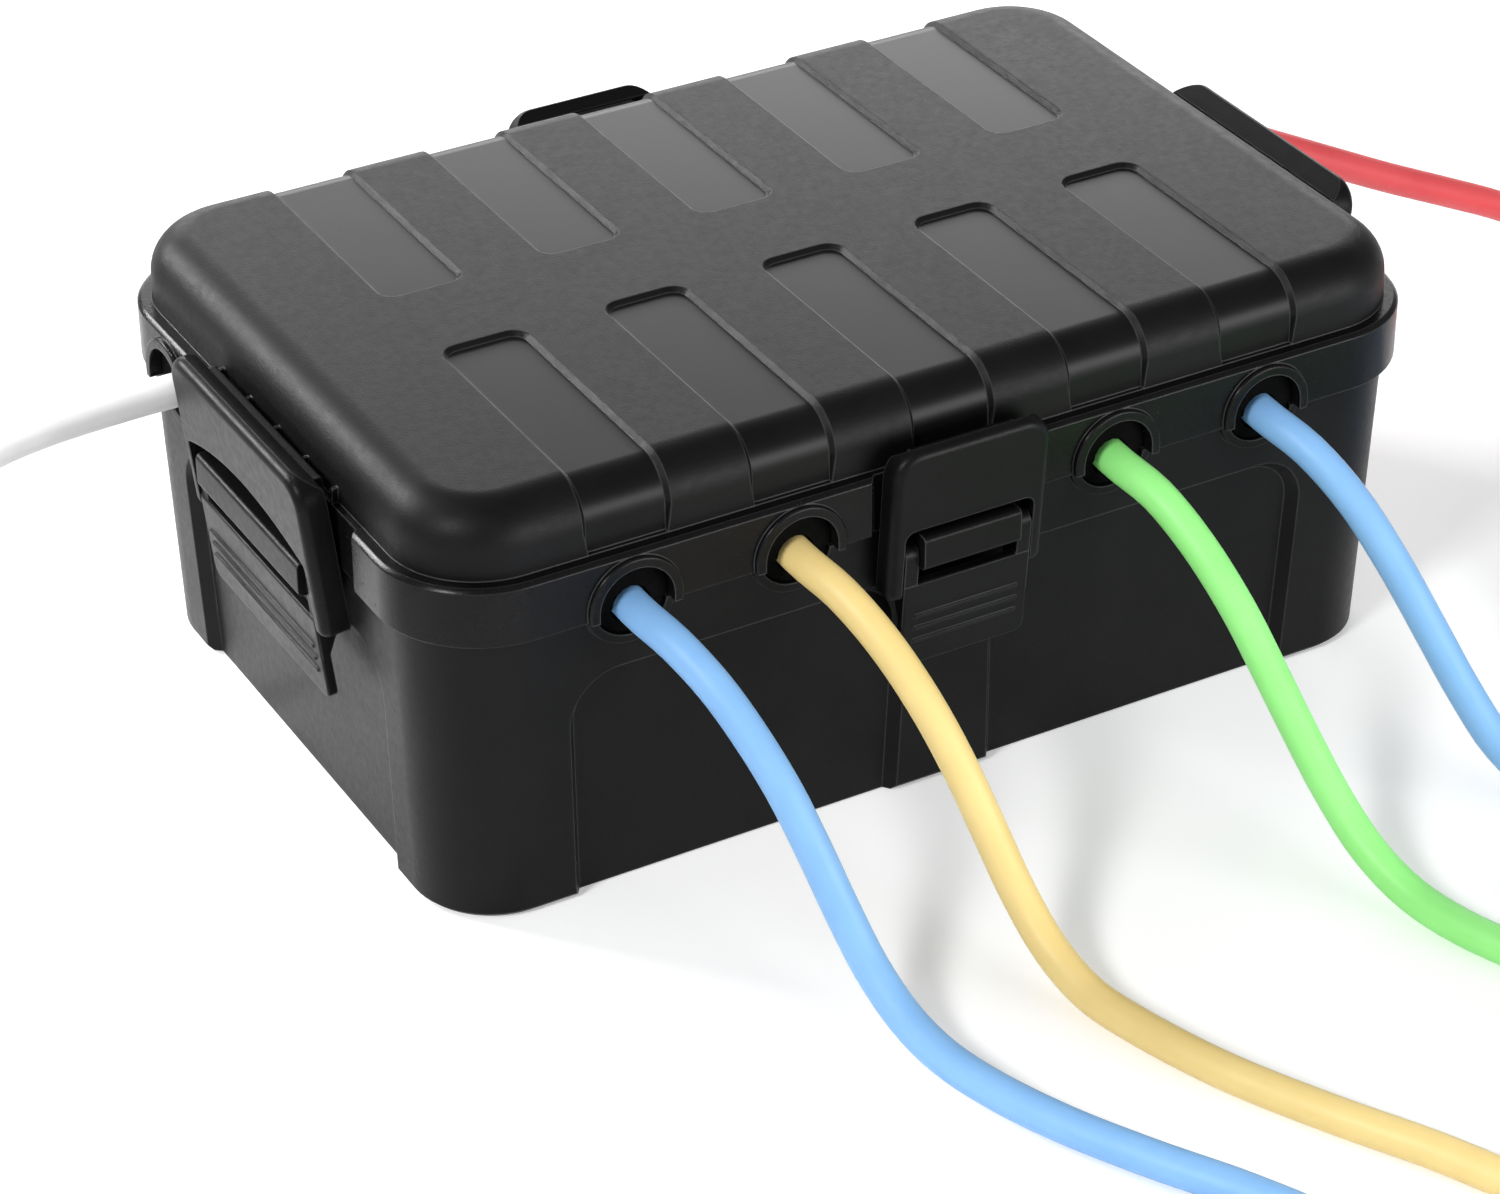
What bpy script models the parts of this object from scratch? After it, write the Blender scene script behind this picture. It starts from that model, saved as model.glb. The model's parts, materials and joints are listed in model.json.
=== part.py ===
# A weatherproof outdoor cable box: a drafted tub, a lift-off lid held by four over-centre latches,
# six split cable ports with their cords, and a surge protected outlet strip inside.
# Metres, Z up. The origin is the middle of the underside, the front faces -Y.

import math

import bmesh
import bpy
from mathutils import Matrix, Vector

for old_object in list(bpy.data.objects):
    bpy.data.objects.remove(old_object, do_unlink=True)

# Lid
LID_LENGTH = 0.304
LID_WIDTH = 0.200
LID_CORNER = 0.029
SKIRT_BOTTOM = 0.087
SKIRT_WALL = 0.0028
SKIRT_EDGE = 0.0012
SKIRT_HEIGHT = 0.017
LEDGE_HEIGHT = SKIRT_BOTTOM + SKIRT_HEIGHT
LEDGE_WALL = 0.0022
DOME_HEIGHT = 0.019
LID_TOP = LEDGE_HEIGHT + DOME_HEIGHT
LID_WALL = 0.0026
DOME_INSET = 0.004
DOME_DRAFT = 0.0006
DOME_ROUND = 0.0115
RECESS_PITCH = 0.0472
RECESS_WIDTH = 0.0224
RECESS_INNER_END = 0.0165
RECESS_DEPTH = 0.0013
RECESS_CORNER = 0.004

# Base
SKIRT_GAP = 0.0004
BASE_INSET = SKIRT_WALL + SKIRT_GAP
BASE_DRAFT = 0.003
BASE_WALL = 0.0025
BASE_FLOOR = 0.0028
FOOT_EDGE = 0.0015
RIM_DROP = 0.004
RIM_TOP = LEDGE_HEIGHT - RIM_DROP
PANEL_DEPTH = 0.0034
PANEL_DROP = 0.023
PANEL_TOP = SKIRT_BOTTOM - PANEL_DROP
PANEL_CORNER = 0.010
LONG_PANEL_INNER = 0.0175
LONG_PANEL_OUTER = 0.107
SIDE_PANEL_HALF = 0.0575
WALL_FACE = 0.0052

# Cable ports
PORT_RISE = 0.0025
PORT_HEIGHT = SKIRT_BOTTOM + PORT_RISE
PORT_RADIUS = 0.0105
HOOD_WALL = 0.0028
HOOD_RADIUS = PORT_RADIUS + HOOD_WALL
HOOD_PROUD = 0.0016
SADDLE_WALL = 0.0025
SADDLE_RADIUS = PORT_RADIUS + SADDLE_WALL
SADDLE_PROUD = -0.0019
FRONT_PORTS = (-0.095, -0.0477, 0.0477, 0.095)
SIDE_PORT = 0.057
CORD_RADIUS = 0.00475
CORD_SAG = 0.002
CORD_HEIGHT = PORT_HEIGHT - CORD_SAG
SEAL_GAP = 0.0003
SEAL_RADIUS = PORT_RADIUS - SEAL_GAP
SEAL_HOLE_GAP = 0.00065
SEAL_HOLE = CORD_RADIUS + SEAL_HOLE_GAP
SEAL_SPLIT = 0.00015
SEAL_BACK = -0.0082
UPPER_SEAL_FRONT = -0.0020
LOWER_SEAL_FRONT = -0.0030
GASKET_OUTER = 0.0034
GASKET_INNER = 0.0056
GASKET_GAP = 0.0003
GASKET_BOTTOM = RIM_TOP + GASKET_GAP
GASKET_TOP = LEDGE_HEIGHT - LEDGE_WALL - GASKET_GAP

# Latches: u runs along the wall, v out from the skirt plane, z up
PIVOT_V = 0.0010
PIVOT_DROP = 0.0075
PIVOT_Z = SKIRT_BOTTOM - PIVOT_DROP
TRUNNION_V = 0.0016
TRUNNION_DROP = 0.0089
TRUNNION_Z = PIVOT_Z - TRUNNION_DROP
BAIL_DROP = 0.0127
BAIL_BOTTOM = PIVOT_Z - BAIL_DROP
BAIL_WALL = 0.0022
BAIL_CORNER = 0.0082
LEG_WIDTH = 0.0042
LEVER_GAP = 0.0004
LEVER_REACH = 0.0337
LEVER_BOTTOM = PIVOT_Z - LEVER_REACH
LEVER_DROP = 0.0079
LEVER_TOP = PIVOT_Z - LEVER_DROP
LEVER_PLATE = 0.0027
LEVER_LOBE = 0.0037
CHEEK = 0.0040
RIDGE_PROUD = 0.0006
RIDGE_FIRST = 0.0080
RIDGE_PITCH = 0.0039
RIDGE_HEIGHTS = tuple(LEVER_BOTTOM + RIDGE_FIRST + RIDGE_PITCH * i for i in range(3))
PIN_RADIUS = 0.0015
PIN_HOLE = 0.00178
TRUNNION_RADIUS = 0.0019
TRUNNION_HOLE = 0.0022
KNUCKLE_GAP = 0.0008
KNUCKLE_HEIGHT = 0.0098
KNUCKLE_HIGH = SKIRT_BOTTOM - KNUCKLE_GAP
KNUCKLE_LOW = KNUCKLE_HIGH - KNUCKLE_HEIGHT
KNUCKLE_OUTER = 0.0068
NOTCH_DEPTH = 0.0020
LONG_NOTCH = (-0.0315, 0.0315)
RIGHT_NOTCH = (-0.0600, 0.0432)
LEFT_NOTCH = (-0.0432, 0.0600)
WINDOW_RISE = 0.0016
WINDOW_TOP = SKIRT_BOTTOM + WINDOW_RISE
LONG_BAIL_RISE = 0.0086
BACK_BAIL_RISE = 0.0115
SIDE_BAIL_RISE = 0.0108
LONG_LATCH = {
    "half": 0.0236, "lean": math.radians(4.6), "top": LEDGE_HEIGHT + LONG_BAIL_RISE,
    "window": WINDOW_TOP, "arch": 0.0,
    "inner": -0.0017, "outer": 0.0045, "lip": -0.0040, "lever": 0.0050,
}
SIDE_LATCH = {
    "half": 0.0405, "lean": math.radians(6.5), "top": LEDGE_HEIGHT + SIDE_BAIL_RISE,
    "window": WINDOW_TOP, "arch": 0.0068,
    "inner": -0.0021, "outer": 0.0057, "lip": -0.0049, "lever": 0.0057,
}
BACK_LATCH = dict(LONG_LATCH, top=LEDGE_HEIGHT + BACK_BAIL_RISE)
LATCHES = {"front": LONG_LATCH, "right": SIDE_LATCH, "back": BACK_LATCH, "left": SIDE_LATCH}
BAIL_SLACKS = {"front": 0.0, "right": math.radians(2.5), "back": math.radians(6.5), "left": 0.0}
LATCH_SHIFTS = {"front": 0.0, "right": -0.006, "back": 0.0, "left": 0.006}

# Outlet strip
STRIP_LEFT = -0.118
STRIP_RIGHT = 0.084
STRIP_FRONT = 0.017
STRIP_BACK = 0.071
STRIP_BOTTOM = 0.0031
STRIP_SPLIT = 0.016
STRIP_TOP = 0.044
STRIP_WALL = 0.0022
STRIP_ROUND = 0.004
OUTLET_Y = 0.044
OUTLETS = (-0.079, -0.048, -0.017, 0.014)
RIGHT_OUTLET = 0.047
GLAND_X = -0.1065
GLAND_TOP = 0.0462
PLUG_WIDTH = 0.026
PLUG_LENGTH = 0.030
PLUG_HEIGHT = 0.024
PLUG_RELIEF = 0.010
BLADE_SPACING = 0.00635
BLADE_BACK = 0.004
BLADE_LENGTH = 0.018
EARTH_FRONT = -0.008
EARTH_RADIUS = 0.0024
CONTACT_LOW = 0.030
CONTACT_HIGH = 0.036
SWITCH_X = -0.103
SWITCH_Y = 0.030
SWITCH_PIVOT = 0.041
SWITCH_TILT = math.radians(8.0)
BUTTON_X = 0.072
BUTTON_Y = 0.024
LENS_Y = 0.034
FIT = 0.0003

# Cords
CORD_FLOOR = CORD_RADIUS + 0.0002
COIL_RADIUS = 0.054
COIL_PITCH = 0.0107
COIL_RISE = 0.0104
COIL_STEPS = 24
COIL_TAIL = 0.026
CORD_STEP = 0.021
END_RADIUS = 0.0150
END_BODY = 0.048
END_RELIEF = 0.022

CORNER_STEPS = 7
ARC_STEPS = 5
UP = Vector((0.0, 0.0, 1.0))

SIDES = {
    "front": (Vector((1, 0, 0)), Vector((0, -1, 0)), LID_WIDTH / 2, 0.0),
    "right": (Vector((0, 1, 0)), Vector((1, 0, 0)), LID_LENGTH / 2, math.pi / 2),
    "back": (Vector((-1, 0, 0)), Vector((0, 1, 0)), LID_WIDTH / 2, math.pi),
    "left": (Vector((0, -1, 0)), Vector((-1, 0, 0)), LID_LENGTH / 2, -math.pi / 2),
}
PORTS = [("front", x) for x in FRONT_PORTS] + [("right", SIDE_PORT), ("left", -SIDE_PORT)]
PORT_NAMES = ("blue_left", "yellow", "green", "blue_right", "red", "white")


def make_material(name, colour, roughness, metallic=0.0):
    material = bpy.data.materials.new(name)
    material.use_nodes = True
    shader = material.node_tree.nodes["Principled BSDF"]
    shader.inputs["Base Color"].default_value = (*colour, 1.0)
    shader.inputs["Roughness"].default_value = roughness
    shader.inputs["Metallic"].default_value = metallic
    return material


COLOURS = {
    "black": ((0.012, 0.012, 0.013), 0.5, 0.0),
    "seal": ((0.006, 0.006, 0.006), 0.8, 0.0),
    "steel": ((0.55, 0.55, 0.56), 0.35, 1.0),
    "brass": ((0.70, 0.50, 0.20), 0.35, 1.0),
    "grey": ((0.45, 0.46, 0.47), 0.5, 0.0),
    "red_switch": ((0.60, 0.03, 0.03), 0.4, 0.0),
    "amber": ((0.80, 0.35, 0.05), 0.2, 0.0),
    "board": ((0.03, 0.22, 0.08), 0.5, 0.0),
    "blue_left": ((0.24, 0.52, 0.90), 0.5, 0.0),
    "yellow": ((0.90, 0.68, 0.22), 0.5, 0.0),
    "green": ((0.28, 0.86, 0.22), 0.5, 0.0),
    "blue_right": ((0.24, 0.52, 0.90), 0.5, 0.0),
    "red": ((0.72, 0.09, 0.10), 0.5, 0.0),
    "white": ((0.80, 0.80, 0.80), 0.5, 0.0),
}


def finish_object(name, data, colour=None):
    made = bpy.data.objects.new(name, data)
    bpy.context.scene.collection.objects.link(made)
    if colour:
        data.materials.clear()
        data.materials.append(make_material(name + "_material", *COLOURS[colour]))
    return made


def mesh_object(name, shape, colour=None):
    bmesh.ops.recalc_face_normals(shape, faces=shape.faces[:])
    data = bpy.data.meshes.new(name)
    shape.to_mesh(data)
    shape.free()
    return finish_object(name, data, colour)


def add_loft(shape, loops):
    rings = [[shape.verts.new(point) for point in loop] for loop in loops]
    count = len(rings[0])
    for lower, upper in zip(rings, rings[1:]):
        for i in range(count):
            j = (i + 1) % count
            shape.faces.new((lower[i], lower[j], upper[j], upper[i]))
    shape.faces.new(rings[0][::-1])
    shape.faces.new(rings[-1])


def loft(name, loops, colour=None):
    shape = bmesh.new()
    add_loft(shape, loops)
    return mesh_object(name, shape, colour)


def rounded_loop(half_x, half_y, corner, z, steps=CORNER_STEPS):
    loop = []
    quarters = ((1, 1, 0), (-1, 1, 1), (-1, -1, 2), (1, -1, 3))
    for sign_x, sign_y, quarter in quarters:
        centre = Vector((sign_x * (half_x - corner), sign_y * (half_y - corner), z))
        for i in range(steps + 1):
            angle = (quarter + i / steps) * math.pi / 2
            loop.append(centre + Vector((math.cos(angle), math.sin(angle), 0)) * corner)
    return loop


def case_loop(inset, z):
    return rounded_loop(LID_LENGTH / 2 - inset, LID_WIDTH / 2 - inset, LID_CORNER - inset, z)


def side_point(side, u, v, z):
    along, out, distance, _ = SIDES[side]
    return along * u + out * (distance + v) + UP * z


def add_side_prism(shape, side, outline, inner, outer):
    loops = [[side_point(side, u, v, z) for u, z in outline] for v in (inner, outer)]
    add_loft(shape, loops)


def add_box(shape, low, high):
    corners = [(low[0], low[1]), (high[0], low[1]), (high[0], high[1]), (low[0], high[1])]
    add_loft(shape, [[Vector((x, y, z)) for x, y in corners] for z in (low[2], high[2])])


def add_rod(shape, start, end, radius, sides=12, end_radius=None):
    direction = (end - start).normalized()
    turn = direction.to_track_quat("Z", "Y").to_matrix()
    loops = []
    for centre, size in ((start, radius), (end, end_radius or radius)):
        ring = []
        for i in range(sides):
            angle = 2 * math.pi * (i + 0.5) / sides
            ring.append(centre + turn @ Vector((math.cos(angle), math.sin(angle), 0)) * size)
        loops.append(ring)
    add_loft(shape, loops)


def carve(target, shape, operation="DIFFERENCE"):
    """Cut a shape out of an object, or join it on, and keep the result as the object's own mesh."""
    tool = shape if isinstance(shape, bpy.types.Object) else mesh_object("tool", shape)
    change = target.modifiers.new("carve", "BOOLEAN")
    change.operation = operation
    change.solver = "EXACT"
    change.object = tool
    graph = bpy.context.evaluated_depsgraph_get()
    result = bpy.data.meshes.new_from_object(target.evaluated_get(graph))
    target.modifiers.clear()
    target.data = result
    bpy.data.objects.remove(tool, do_unlink=True)


def join(target, shape):
    carve(target, shape, "UNION")


# Base shell: tub, set-in panels, cable saddles and latch knuckles


def base_inset(z):
    return BASE_INSET + BASE_DRAFT * (1 - z / SKIRT_BOTTOM)


def arch_outline(low_u, high_u, low_z, high_z, corner, steps=4):
    outline = [(low_u, low_z), (high_u, low_z)]
    for centre_u, first in ((high_u - corner, 0), (low_u + corner, 1)):
        for i in range(steps + 1):
            angle = (first + i / steps) * math.pi / 2
            outline.append((centre_u + corner * math.cos(angle), high_z - corner + corner * math.sin(angle)))
    return outline


def panel_slabs(grow, depth):
    """Flared panel prisms with the tub's inner core taken out, so that they follow its draft."""
    shape = bmesh.new()
    long_panels = ((-LONG_PANEL_OUTER, -LONG_PANEL_INNER), (LONG_PANEL_INNER, LONG_PANEL_OUTER))
    panels = [(side, pair) for side in ("front", "back") for pair in long_panels]
    panels += [(side, (-SIDE_PANEL_HALF, SIDE_PANEL_HALF)) for side in ("right", "left")]
    for side, (low_u, high_u) in panels:
        loops = []
        for v in (-WALL_FACE - 0.011, -WALL_FACE + 0.003):
            flare = v + WALL_FACE + PANEL_DEPTH
            flare = max(flare, -0.004) + grow
            outline = arch_outline(
                low_u - flare, high_u + flare, -0.01, PANEL_TOP + flare, PANEL_CORNER + flare)
            loops.append([side_point(side, u, v, z) for u, z in outline])
        add_loft(shape, loops)
    slabs = mesh_object("slabs", shape)
    low, high = -0.02, SKIRT_BOTTOM - 0.002
    core = loft("core", [case_loop(base_inset(z) + depth, z) for z in (low, high)])
    carve(slabs, core)
    return slabs


def port_outline(radius, open_up, end_z, low_cut=None, steps=12):
    """Round port outline about (0, PORT_HEIGHT), run straight up or down from its middle."""
    outline = []
    first = math.pi if open_up else 0.0
    for i in range(steps + 1):
        angle = first + math.pi * i / steps
        outline.append((radius * math.cos(angle), PORT_HEIGHT + radius * math.sin(angle)))
    if open_up:
        return outline + [(radius, end_z), (-radius, end_z)]
    return outline + [(-radius, end_z), (radius, end_z)]


def shifted(outline, u):
    return [(a + u, z) for a, z in outline]


def saddle_outline(steps=10):
    top = SKIRT_BOTTOM - SKIRT_GAP
    first = math.asin((PORT_HEIGHT - top) / SADDLE_RADIUS)
    outline = []
    for i in range(steps + 1):
        angle = math.pi + first + (math.pi - 2 * first) * i / steps
        outline.append((SADDLE_RADIUS * math.cos(angle), PORT_HEIGHT + SADDLE_RADIUS * math.sin(angle)))
    return outline


def lever_half(side):
    return LATCHES[side]["half"] - LEG_WIDTH - LEVER_GAP


foot = base_inset(0.0)
base_shell = loft("base_shell", [
    case_loop(foot + FOOT_EDGE, 0.0),
    case_loop(foot, FOOT_EDGE),
    case_loop(BASE_INSET, SKIRT_BOTTOM),
    case_loop(BASE_INSET, RIM_TOP),
])
carve(base_shell, panel_slabs(0.0, PANEL_DEPTH))
cavity = loft("cavity", [
    case_loop(base_inset(BASE_FLOOR) + BASE_WALL, BASE_FLOOR),
    case_loop(BASE_INSET + BASE_WALL, SKIRT_BOTTOM),
    case_loop(BASE_INSET + BASE_WALL, RIM_TOP + 0.01),
])
carve(cavity, panel_slabs(BASE_WALL, PANEL_DEPTH + BASE_WALL))
carve(base_shell, cavity)

additions = bmesh.new()
for port_side, port_u in PORTS:
    add_side_prism(additions, port_side, shifted(saddle_outline(), port_u), -0.0090, SADDLE_PROUD)
join(base_shell, additions)

additions = bmesh.new()
for side in SIDES:
    half = lever_half(side) - CHEEK - LEVER_GAP
    profile = [
        (-0.0050, KNUCKLE_LOW), (KNUCKLE_OUTER - 0.0015, KNUCKLE_LOW),
        (KNUCKLE_OUTER, KNUCKLE_LOW + 0.0015), (KNUCKLE_OUTER, KNUCKLE_HIGH - 0.0015),
        (KNUCKLE_OUTER - 0.0015, KNUCKLE_HIGH), (-0.0050, KNUCKLE_HIGH),
    ]
    shift = LATCH_SHIFTS[side]
    add_loft(additions, [[side_point(side, shift + u, v, z) for v, z in profile] for u in (-half, half)])
join(base_shell, additions)

cuts = bmesh.new()
for port_side, port_u in PORTS:
    add_side_prism(cuts, port_side, shifted(port_outline(PORT_RADIUS, True, LID_TOP), port_u), -0.020, 0.005)
for side in SIDES:
    ends = [LATCH_SHIFTS[side] + sign * lever_half(side) for sign in (-1, 1)]
    start, end = (side_point(side, u, PIVOT_V, PIVOT_Z) for u in ends)
    add_rod(cuts, start, end, PIN_HOLE)
carve(base_shell, cuts)
base_shell.name = "base_shell"
base_shell.data.materials.clear()
base_shell.data.materials.append(make_material("base_shell_material", *COLOURS["black"]))

# Lid shell: skirt, ledge, dome with finger recesses, port hoods and latch notches


def dome_rings(shrink, foot_z):
    start = DOME_INSET + shrink
    shoulder = LID_TOP - DOME_ROUND
    rings = [(start, foot_z), (start + DOME_DRAFT, shoulder)]
    radius = DOME_ROUND - shrink
    for i in range(1, ARC_STEPS + 1):
        angle = i / ARC_STEPS * math.pi / 2
        inset = start + DOME_DRAFT + radius * (1 - math.cos(angle))
        rings.append((inset, shoulder + radius * math.sin(angle)))
    return rings


lid_shell = loft("lid_shell", [case_loop(inset, z) for inset, z in [
    (0.0, SKIRT_BOTTOM),
    (0.0, LEDGE_HEIGHT - SKIRT_EDGE),
    (SKIRT_EDGE * 0.3, LEDGE_HEIGHT - SKIRT_EDGE * 0.3),
    (SKIRT_EDGE, LEDGE_HEIGHT),
] + dome_rings(0.0, LEDGE_HEIGHT)])

hoods = bmesh.new()
for port_side, port_u in PORTS:
    outline = shifted(port_outline(HOOD_RADIUS, False, SKIRT_BOTTOM), port_u)
    add_side_prism(hoods, port_side, outline, -0.0012, HOOD_PROUD)
join(lid_shell, hoods)

hollow = loft("hollow", [case_loop(inset, z) for inset, z in [
    (SKIRT_WALL, SKIRT_BOTTOM - 0.01),
    (SKIRT_WALL, LEDGE_HEIGHT - LEDGE_WALL),
] + dome_rings(LID_WALL, LEDGE_HEIGHT - LEDGE_WALL)])
carve(lid_shell, hollow)

strips = bmesh.new()
for column in range(-2, 3):
    for sign in (-1, 1):
        low_x = column * RECESS_PITCH - RECESS_WIDTH / 2
        high_x = column * RECESS_PITCH + RECESS_WIDTH / 2
        inner_y = RECESS_INNER_END
        outer_y = LID_WIDTH / 2 + 0.002
        plan = [(low_x, outer_y), (high_x, outer_y)]
        turn_y = inner_y + RECESS_CORNER * 0.3
        plan += [(high_x, inner_y + RECESS_CORNER), (high_x - RECESS_CORNER * 0.3, turn_y)]
        plan += [(high_x - RECESS_CORNER, inner_y), (low_x + RECESS_CORNER, inner_y)]
        plan += [(low_x + RECESS_CORNER * 0.3, turn_y), (low_x, inner_y + RECESS_CORNER)]
        heights = (LEDGE_HEIGHT + 0.0002, LID_TOP + 0.007)
        add_loft(strips, [[Vector((x, y * sign, z)) for x, y in plan] for z in heights])
recesses = mesh_object("recesses", strips)
core_rings = dome_rings(RECESS_DEPTH, LEDGE_HEIGHT - 0.01)
carve(recesses, loft("dome_core", [case_loop(inset, z) for inset, z in core_rings]))
carve(lid_shell, recesses)

cuts = bmesh.new()
for side, (low_u, high_u) in (
        ("front", LONG_NOTCH), ("back", LONG_NOTCH), ("right", RIGHT_NOTCH), ("left", LEFT_NOTCH)):
    slope = 0.004
    plan = [(low_u + slope, -NOTCH_DEPTH), (high_u - slope, -NOTCH_DEPTH), (high_u, 0.003), (low_u, 0.003)]
    heights = (SKIRT_BOTTOM - 0.007, LEDGE_HEIGHT + 0.003)
    add_loft(cuts, [[side_point(side, u, v, z) for u, v in plan] for z in heights])
carve(lid_shell, cuts)
cuts = bmesh.new()
for port_side, port_u in PORTS:
    outline = port_outline(PORT_RADIUS, False, SKIRT_BOTTOM - 0.007)
    add_side_prism(cuts, port_side, shifted(outline, port_u), -0.012, 0.005)
carve(lid_shell, cuts)
lid_shell.data.materials.clear()
lid_shell.data.materials.append(make_material("lid_shell_material", *COLOURS["black"]))

gasket_shape = bmesh.new()
add_loft(gasket_shape, [case_loop(GASKET_OUTER, z) for z in (GASKET_BOTTOM, GASKET_TOP)])
lid_gasket = mesh_object("lid_gasket", gasket_shape, "seal")
gasket_heights = (RIM_TOP - 0.01, LEDGE_HEIGHT + 0.006)
carve(lid_gasket, loft("gasket_hole", [case_loop(GASKET_INNER, z) for z in gasket_heights]))

# Cable seals, split at the cord


def half_ring(upper, steps=8):
    first = 0.0 if upper else math.pi
    floor = CORD_HEIGHT + (SEAL_SPLIT if upper else -SEAL_SPLIT)
    offset = PORT_HEIGHT - CORD_HEIGHT
    outer = []
    start = -math.asin((PORT_HEIGHT - floor) / SEAL_RADIUS)
    if upper:
        sweep = (start, math.pi - start)
    else:
        sweep = (math.pi - start, 2 * math.pi + start)
    for i in range(steps + 1):
        angle = sweep[0] + (sweep[1] - sweep[0]) * i / steps
        outer.append((SEAL_RADIUS * math.cos(angle), CORD_HEIGHT + offset + SEAL_RADIUS * math.sin(angle)))
    inner = []
    for i in range(steps + 1):
        angle = first + math.pi * (1 - i / steps)
        inner.append((SEAL_HOLE * math.cos(angle), floor + SEAL_HOLE * math.sin(angle)))
    return outer + inner


for (port_side, port_u), port_name in zip(PORTS, PORT_NAMES):
    for upper in (True, False):
        seal = bmesh.new()
        front = UPPER_SEAL_FRONT if upper else LOWER_SEAL_FRONT
        add_side_prism(seal, port_side, shifted(half_ring(upper), port_u), SEAL_BACK, front)
        half_name = "upper" if upper else "lower"
        mesh_object(f"seal_{half_name}_{port_name}", seal, "seal")

# Latches: each lever turns on a steel pin in the base's knuckle and carries the bail on its trunnions


def local(u, v, z, centre_v, centre_z):
    return Vector((u, centre_v - v, z - centre_z))


def add_local_prism(shape, outline, axis, low, high, centre_v, centre_z):
    """A prism in a latch's own frame, across the wall (axis v) or along it (axis u)."""
    if axis == "v":
        loops = [[local(a, t, b, centre_v, centre_z) for a, b in outline] for t in (low, high)]
    else:
        loops = [[local(t, a, b, centre_v, centre_z) for a, b in outline] for t in (low, high)]
    add_loft(shape, loops)


def rectangle(low_a, high_a, low_b, high_b):
    return [(low_a, low_b), (high_a, low_b), (high_a, high_b), (low_a, high_b)]


def bail_outline(latch, steps=4):
    half = latch["half"]
    top = latch["top"]
    inner = half - LEG_WIDTH
    foot_round = 0.0020
    outline = [(-half + foot_round, BAIL_BOTTOM), (-inner, BAIL_BOTTOM)]
    arch_steps = 6
    for i in range(arch_steps + 1):
        t = -1 + 2 * i / arch_steps
        outline.append((inner * t, latch["window"] + latch["arch"] * (1 - t * t)))
    outline += [(inner, BAIL_BOTTOM), (half - foot_round, BAIL_BOTTOM), (half, BAIL_BOTTOM + foot_round)]
    for centre_u, first in ((half - BAIL_CORNER, 0), (-half + BAIL_CORNER, 1)):
        for i in range(steps + 1):
            angle = (first + i / steps) * math.pi / 2
            outline.append((centre_u + BAIL_CORNER * math.cos(angle),
                            top - BAIL_CORNER + BAIL_CORNER * math.sin(angle)))
    outline.append((-half, BAIL_BOTTOM + foot_round))
    return outline


def make_bail(side):
    latch = LATCHES[side]
    half = latch["half"]
    centre = (TRUNNION_V, TRUNNION_Z)
    shape = bmesh.new()
    add_local_prism(shape, bail_outline(latch), "v", latch["inner"], latch["outer"], *centre)
    bail = mesh_object("bail_" + side, shape, "black")
    pocket = bmesh.new()
    room = half - BAIL_WALL
    low = latch["window"] + latch["arch"] + BAIL_WALL
    high = latch["top"] - BAIL_WALL
    cut_corner = 0.005
    outline = [(-room, low), (room, low), (room, high - cut_corner), (room - cut_corner, high),
               (-room + cut_corner, high), (-room, high - cut_corner)]
    add_local_prism(pocket, outline, "v", latch["inner"] - 0.004, latch["outer"] - BAIL_WALL, *centre)
    for sign in (-1, 1):
        start = local(sign * (half - LEG_WIDTH - 0.001), *centre, *centre)
        end = local(sign * (half - 0.0018), *centre, *centre)
        add_rod(pocket, start, end, TRUNNION_HOLE)
    carve(bail, pocket)
    lip = bmesh.new()
    lip_half = half - BAIL_CORNER
    add_local_prism(lip, rectangle(-lip_half, lip_half, latch["top"] - 0.0042, latch["top"] - 0.0008),
                    "v", latch["lip"], latch["inner"] + 0.001, *centre)
    join(bail, lip)
    return bail


def lever_cheek(face):
    plate_z = PIVOT_Z - 0.0205
    outline = [(face - 0.0004, plate_z)]
    for i in range(9):
        angle = math.pi * i / 8
        outline.append((PIVOT_V + LEVER_LOBE * math.cos(angle), PIVOT_Z + LEVER_LOBE * math.sin(angle)))
    outline += [(-0.0016, PIVOT_Z - 0.0123), (0.0004, PIVOT_Z - 0.0145)]
    outline += [(face - LEVER_PLATE + 0.0004, plate_z)]
    return outline


def make_lever(side):
    half = lever_half(side)
    face = LATCHES[side]["lever"]
    centre = (PIVOT_V, PIVOT_Z)
    shape = bmesh.new()
    corner = 0.003
    outline = [(-half + corner, LEVER_BOTTOM), (half - corner, LEVER_BOTTOM), (half, LEVER_BOTTOM + corner),
               (half, LEVER_TOP), (-half, LEVER_TOP), (-half, LEVER_BOTTOM + corner)]
    add_local_prism(shape, outline, "v", face - LEVER_PLATE, face, *centre)
    lever = mesh_object("lever_" + side, shape, "black")
    for sign in (-1, 1):
        cheek = bmesh.new()
        low, high = sorted((sign * half * 0.99995, sign * (half - CHEEK)))
        add_local_prism(cheek, lever_cheek(face), "u", low, high, *centre)
        join(lever, cheek)
    trunnions = bmesh.new()
    for sign in (-1, 1):
        start = local(sign * (half - 0.001), TRUNNION_V, TRUNNION_Z, *centre)
        end = local(sign * (LATCHES[side]["half"] - 0.0022), TRUNNION_V, TRUNNION_Z, *centre)
        add_rod(trunnions, start, end, TRUNNION_RADIUS)
    for height in RIDGE_HEIGHTS:
        ridge = rectangle(-half + 0.0015, half - 0.0015, height - 0.0006, height + 0.0006)
        add_local_prism(trunnions, ridge, "v", face - 0.0006, face + RIDGE_PROUD, *centre)
    join(lever, trunnions)
    hole = bmesh.new()
    add_rod(hole, Vector((-half - 0.001, 0, 0)), Vector((half + 0.001, 0, 0)), PIN_HOLE)
    carve(lever, hole)
    return lever


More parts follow.
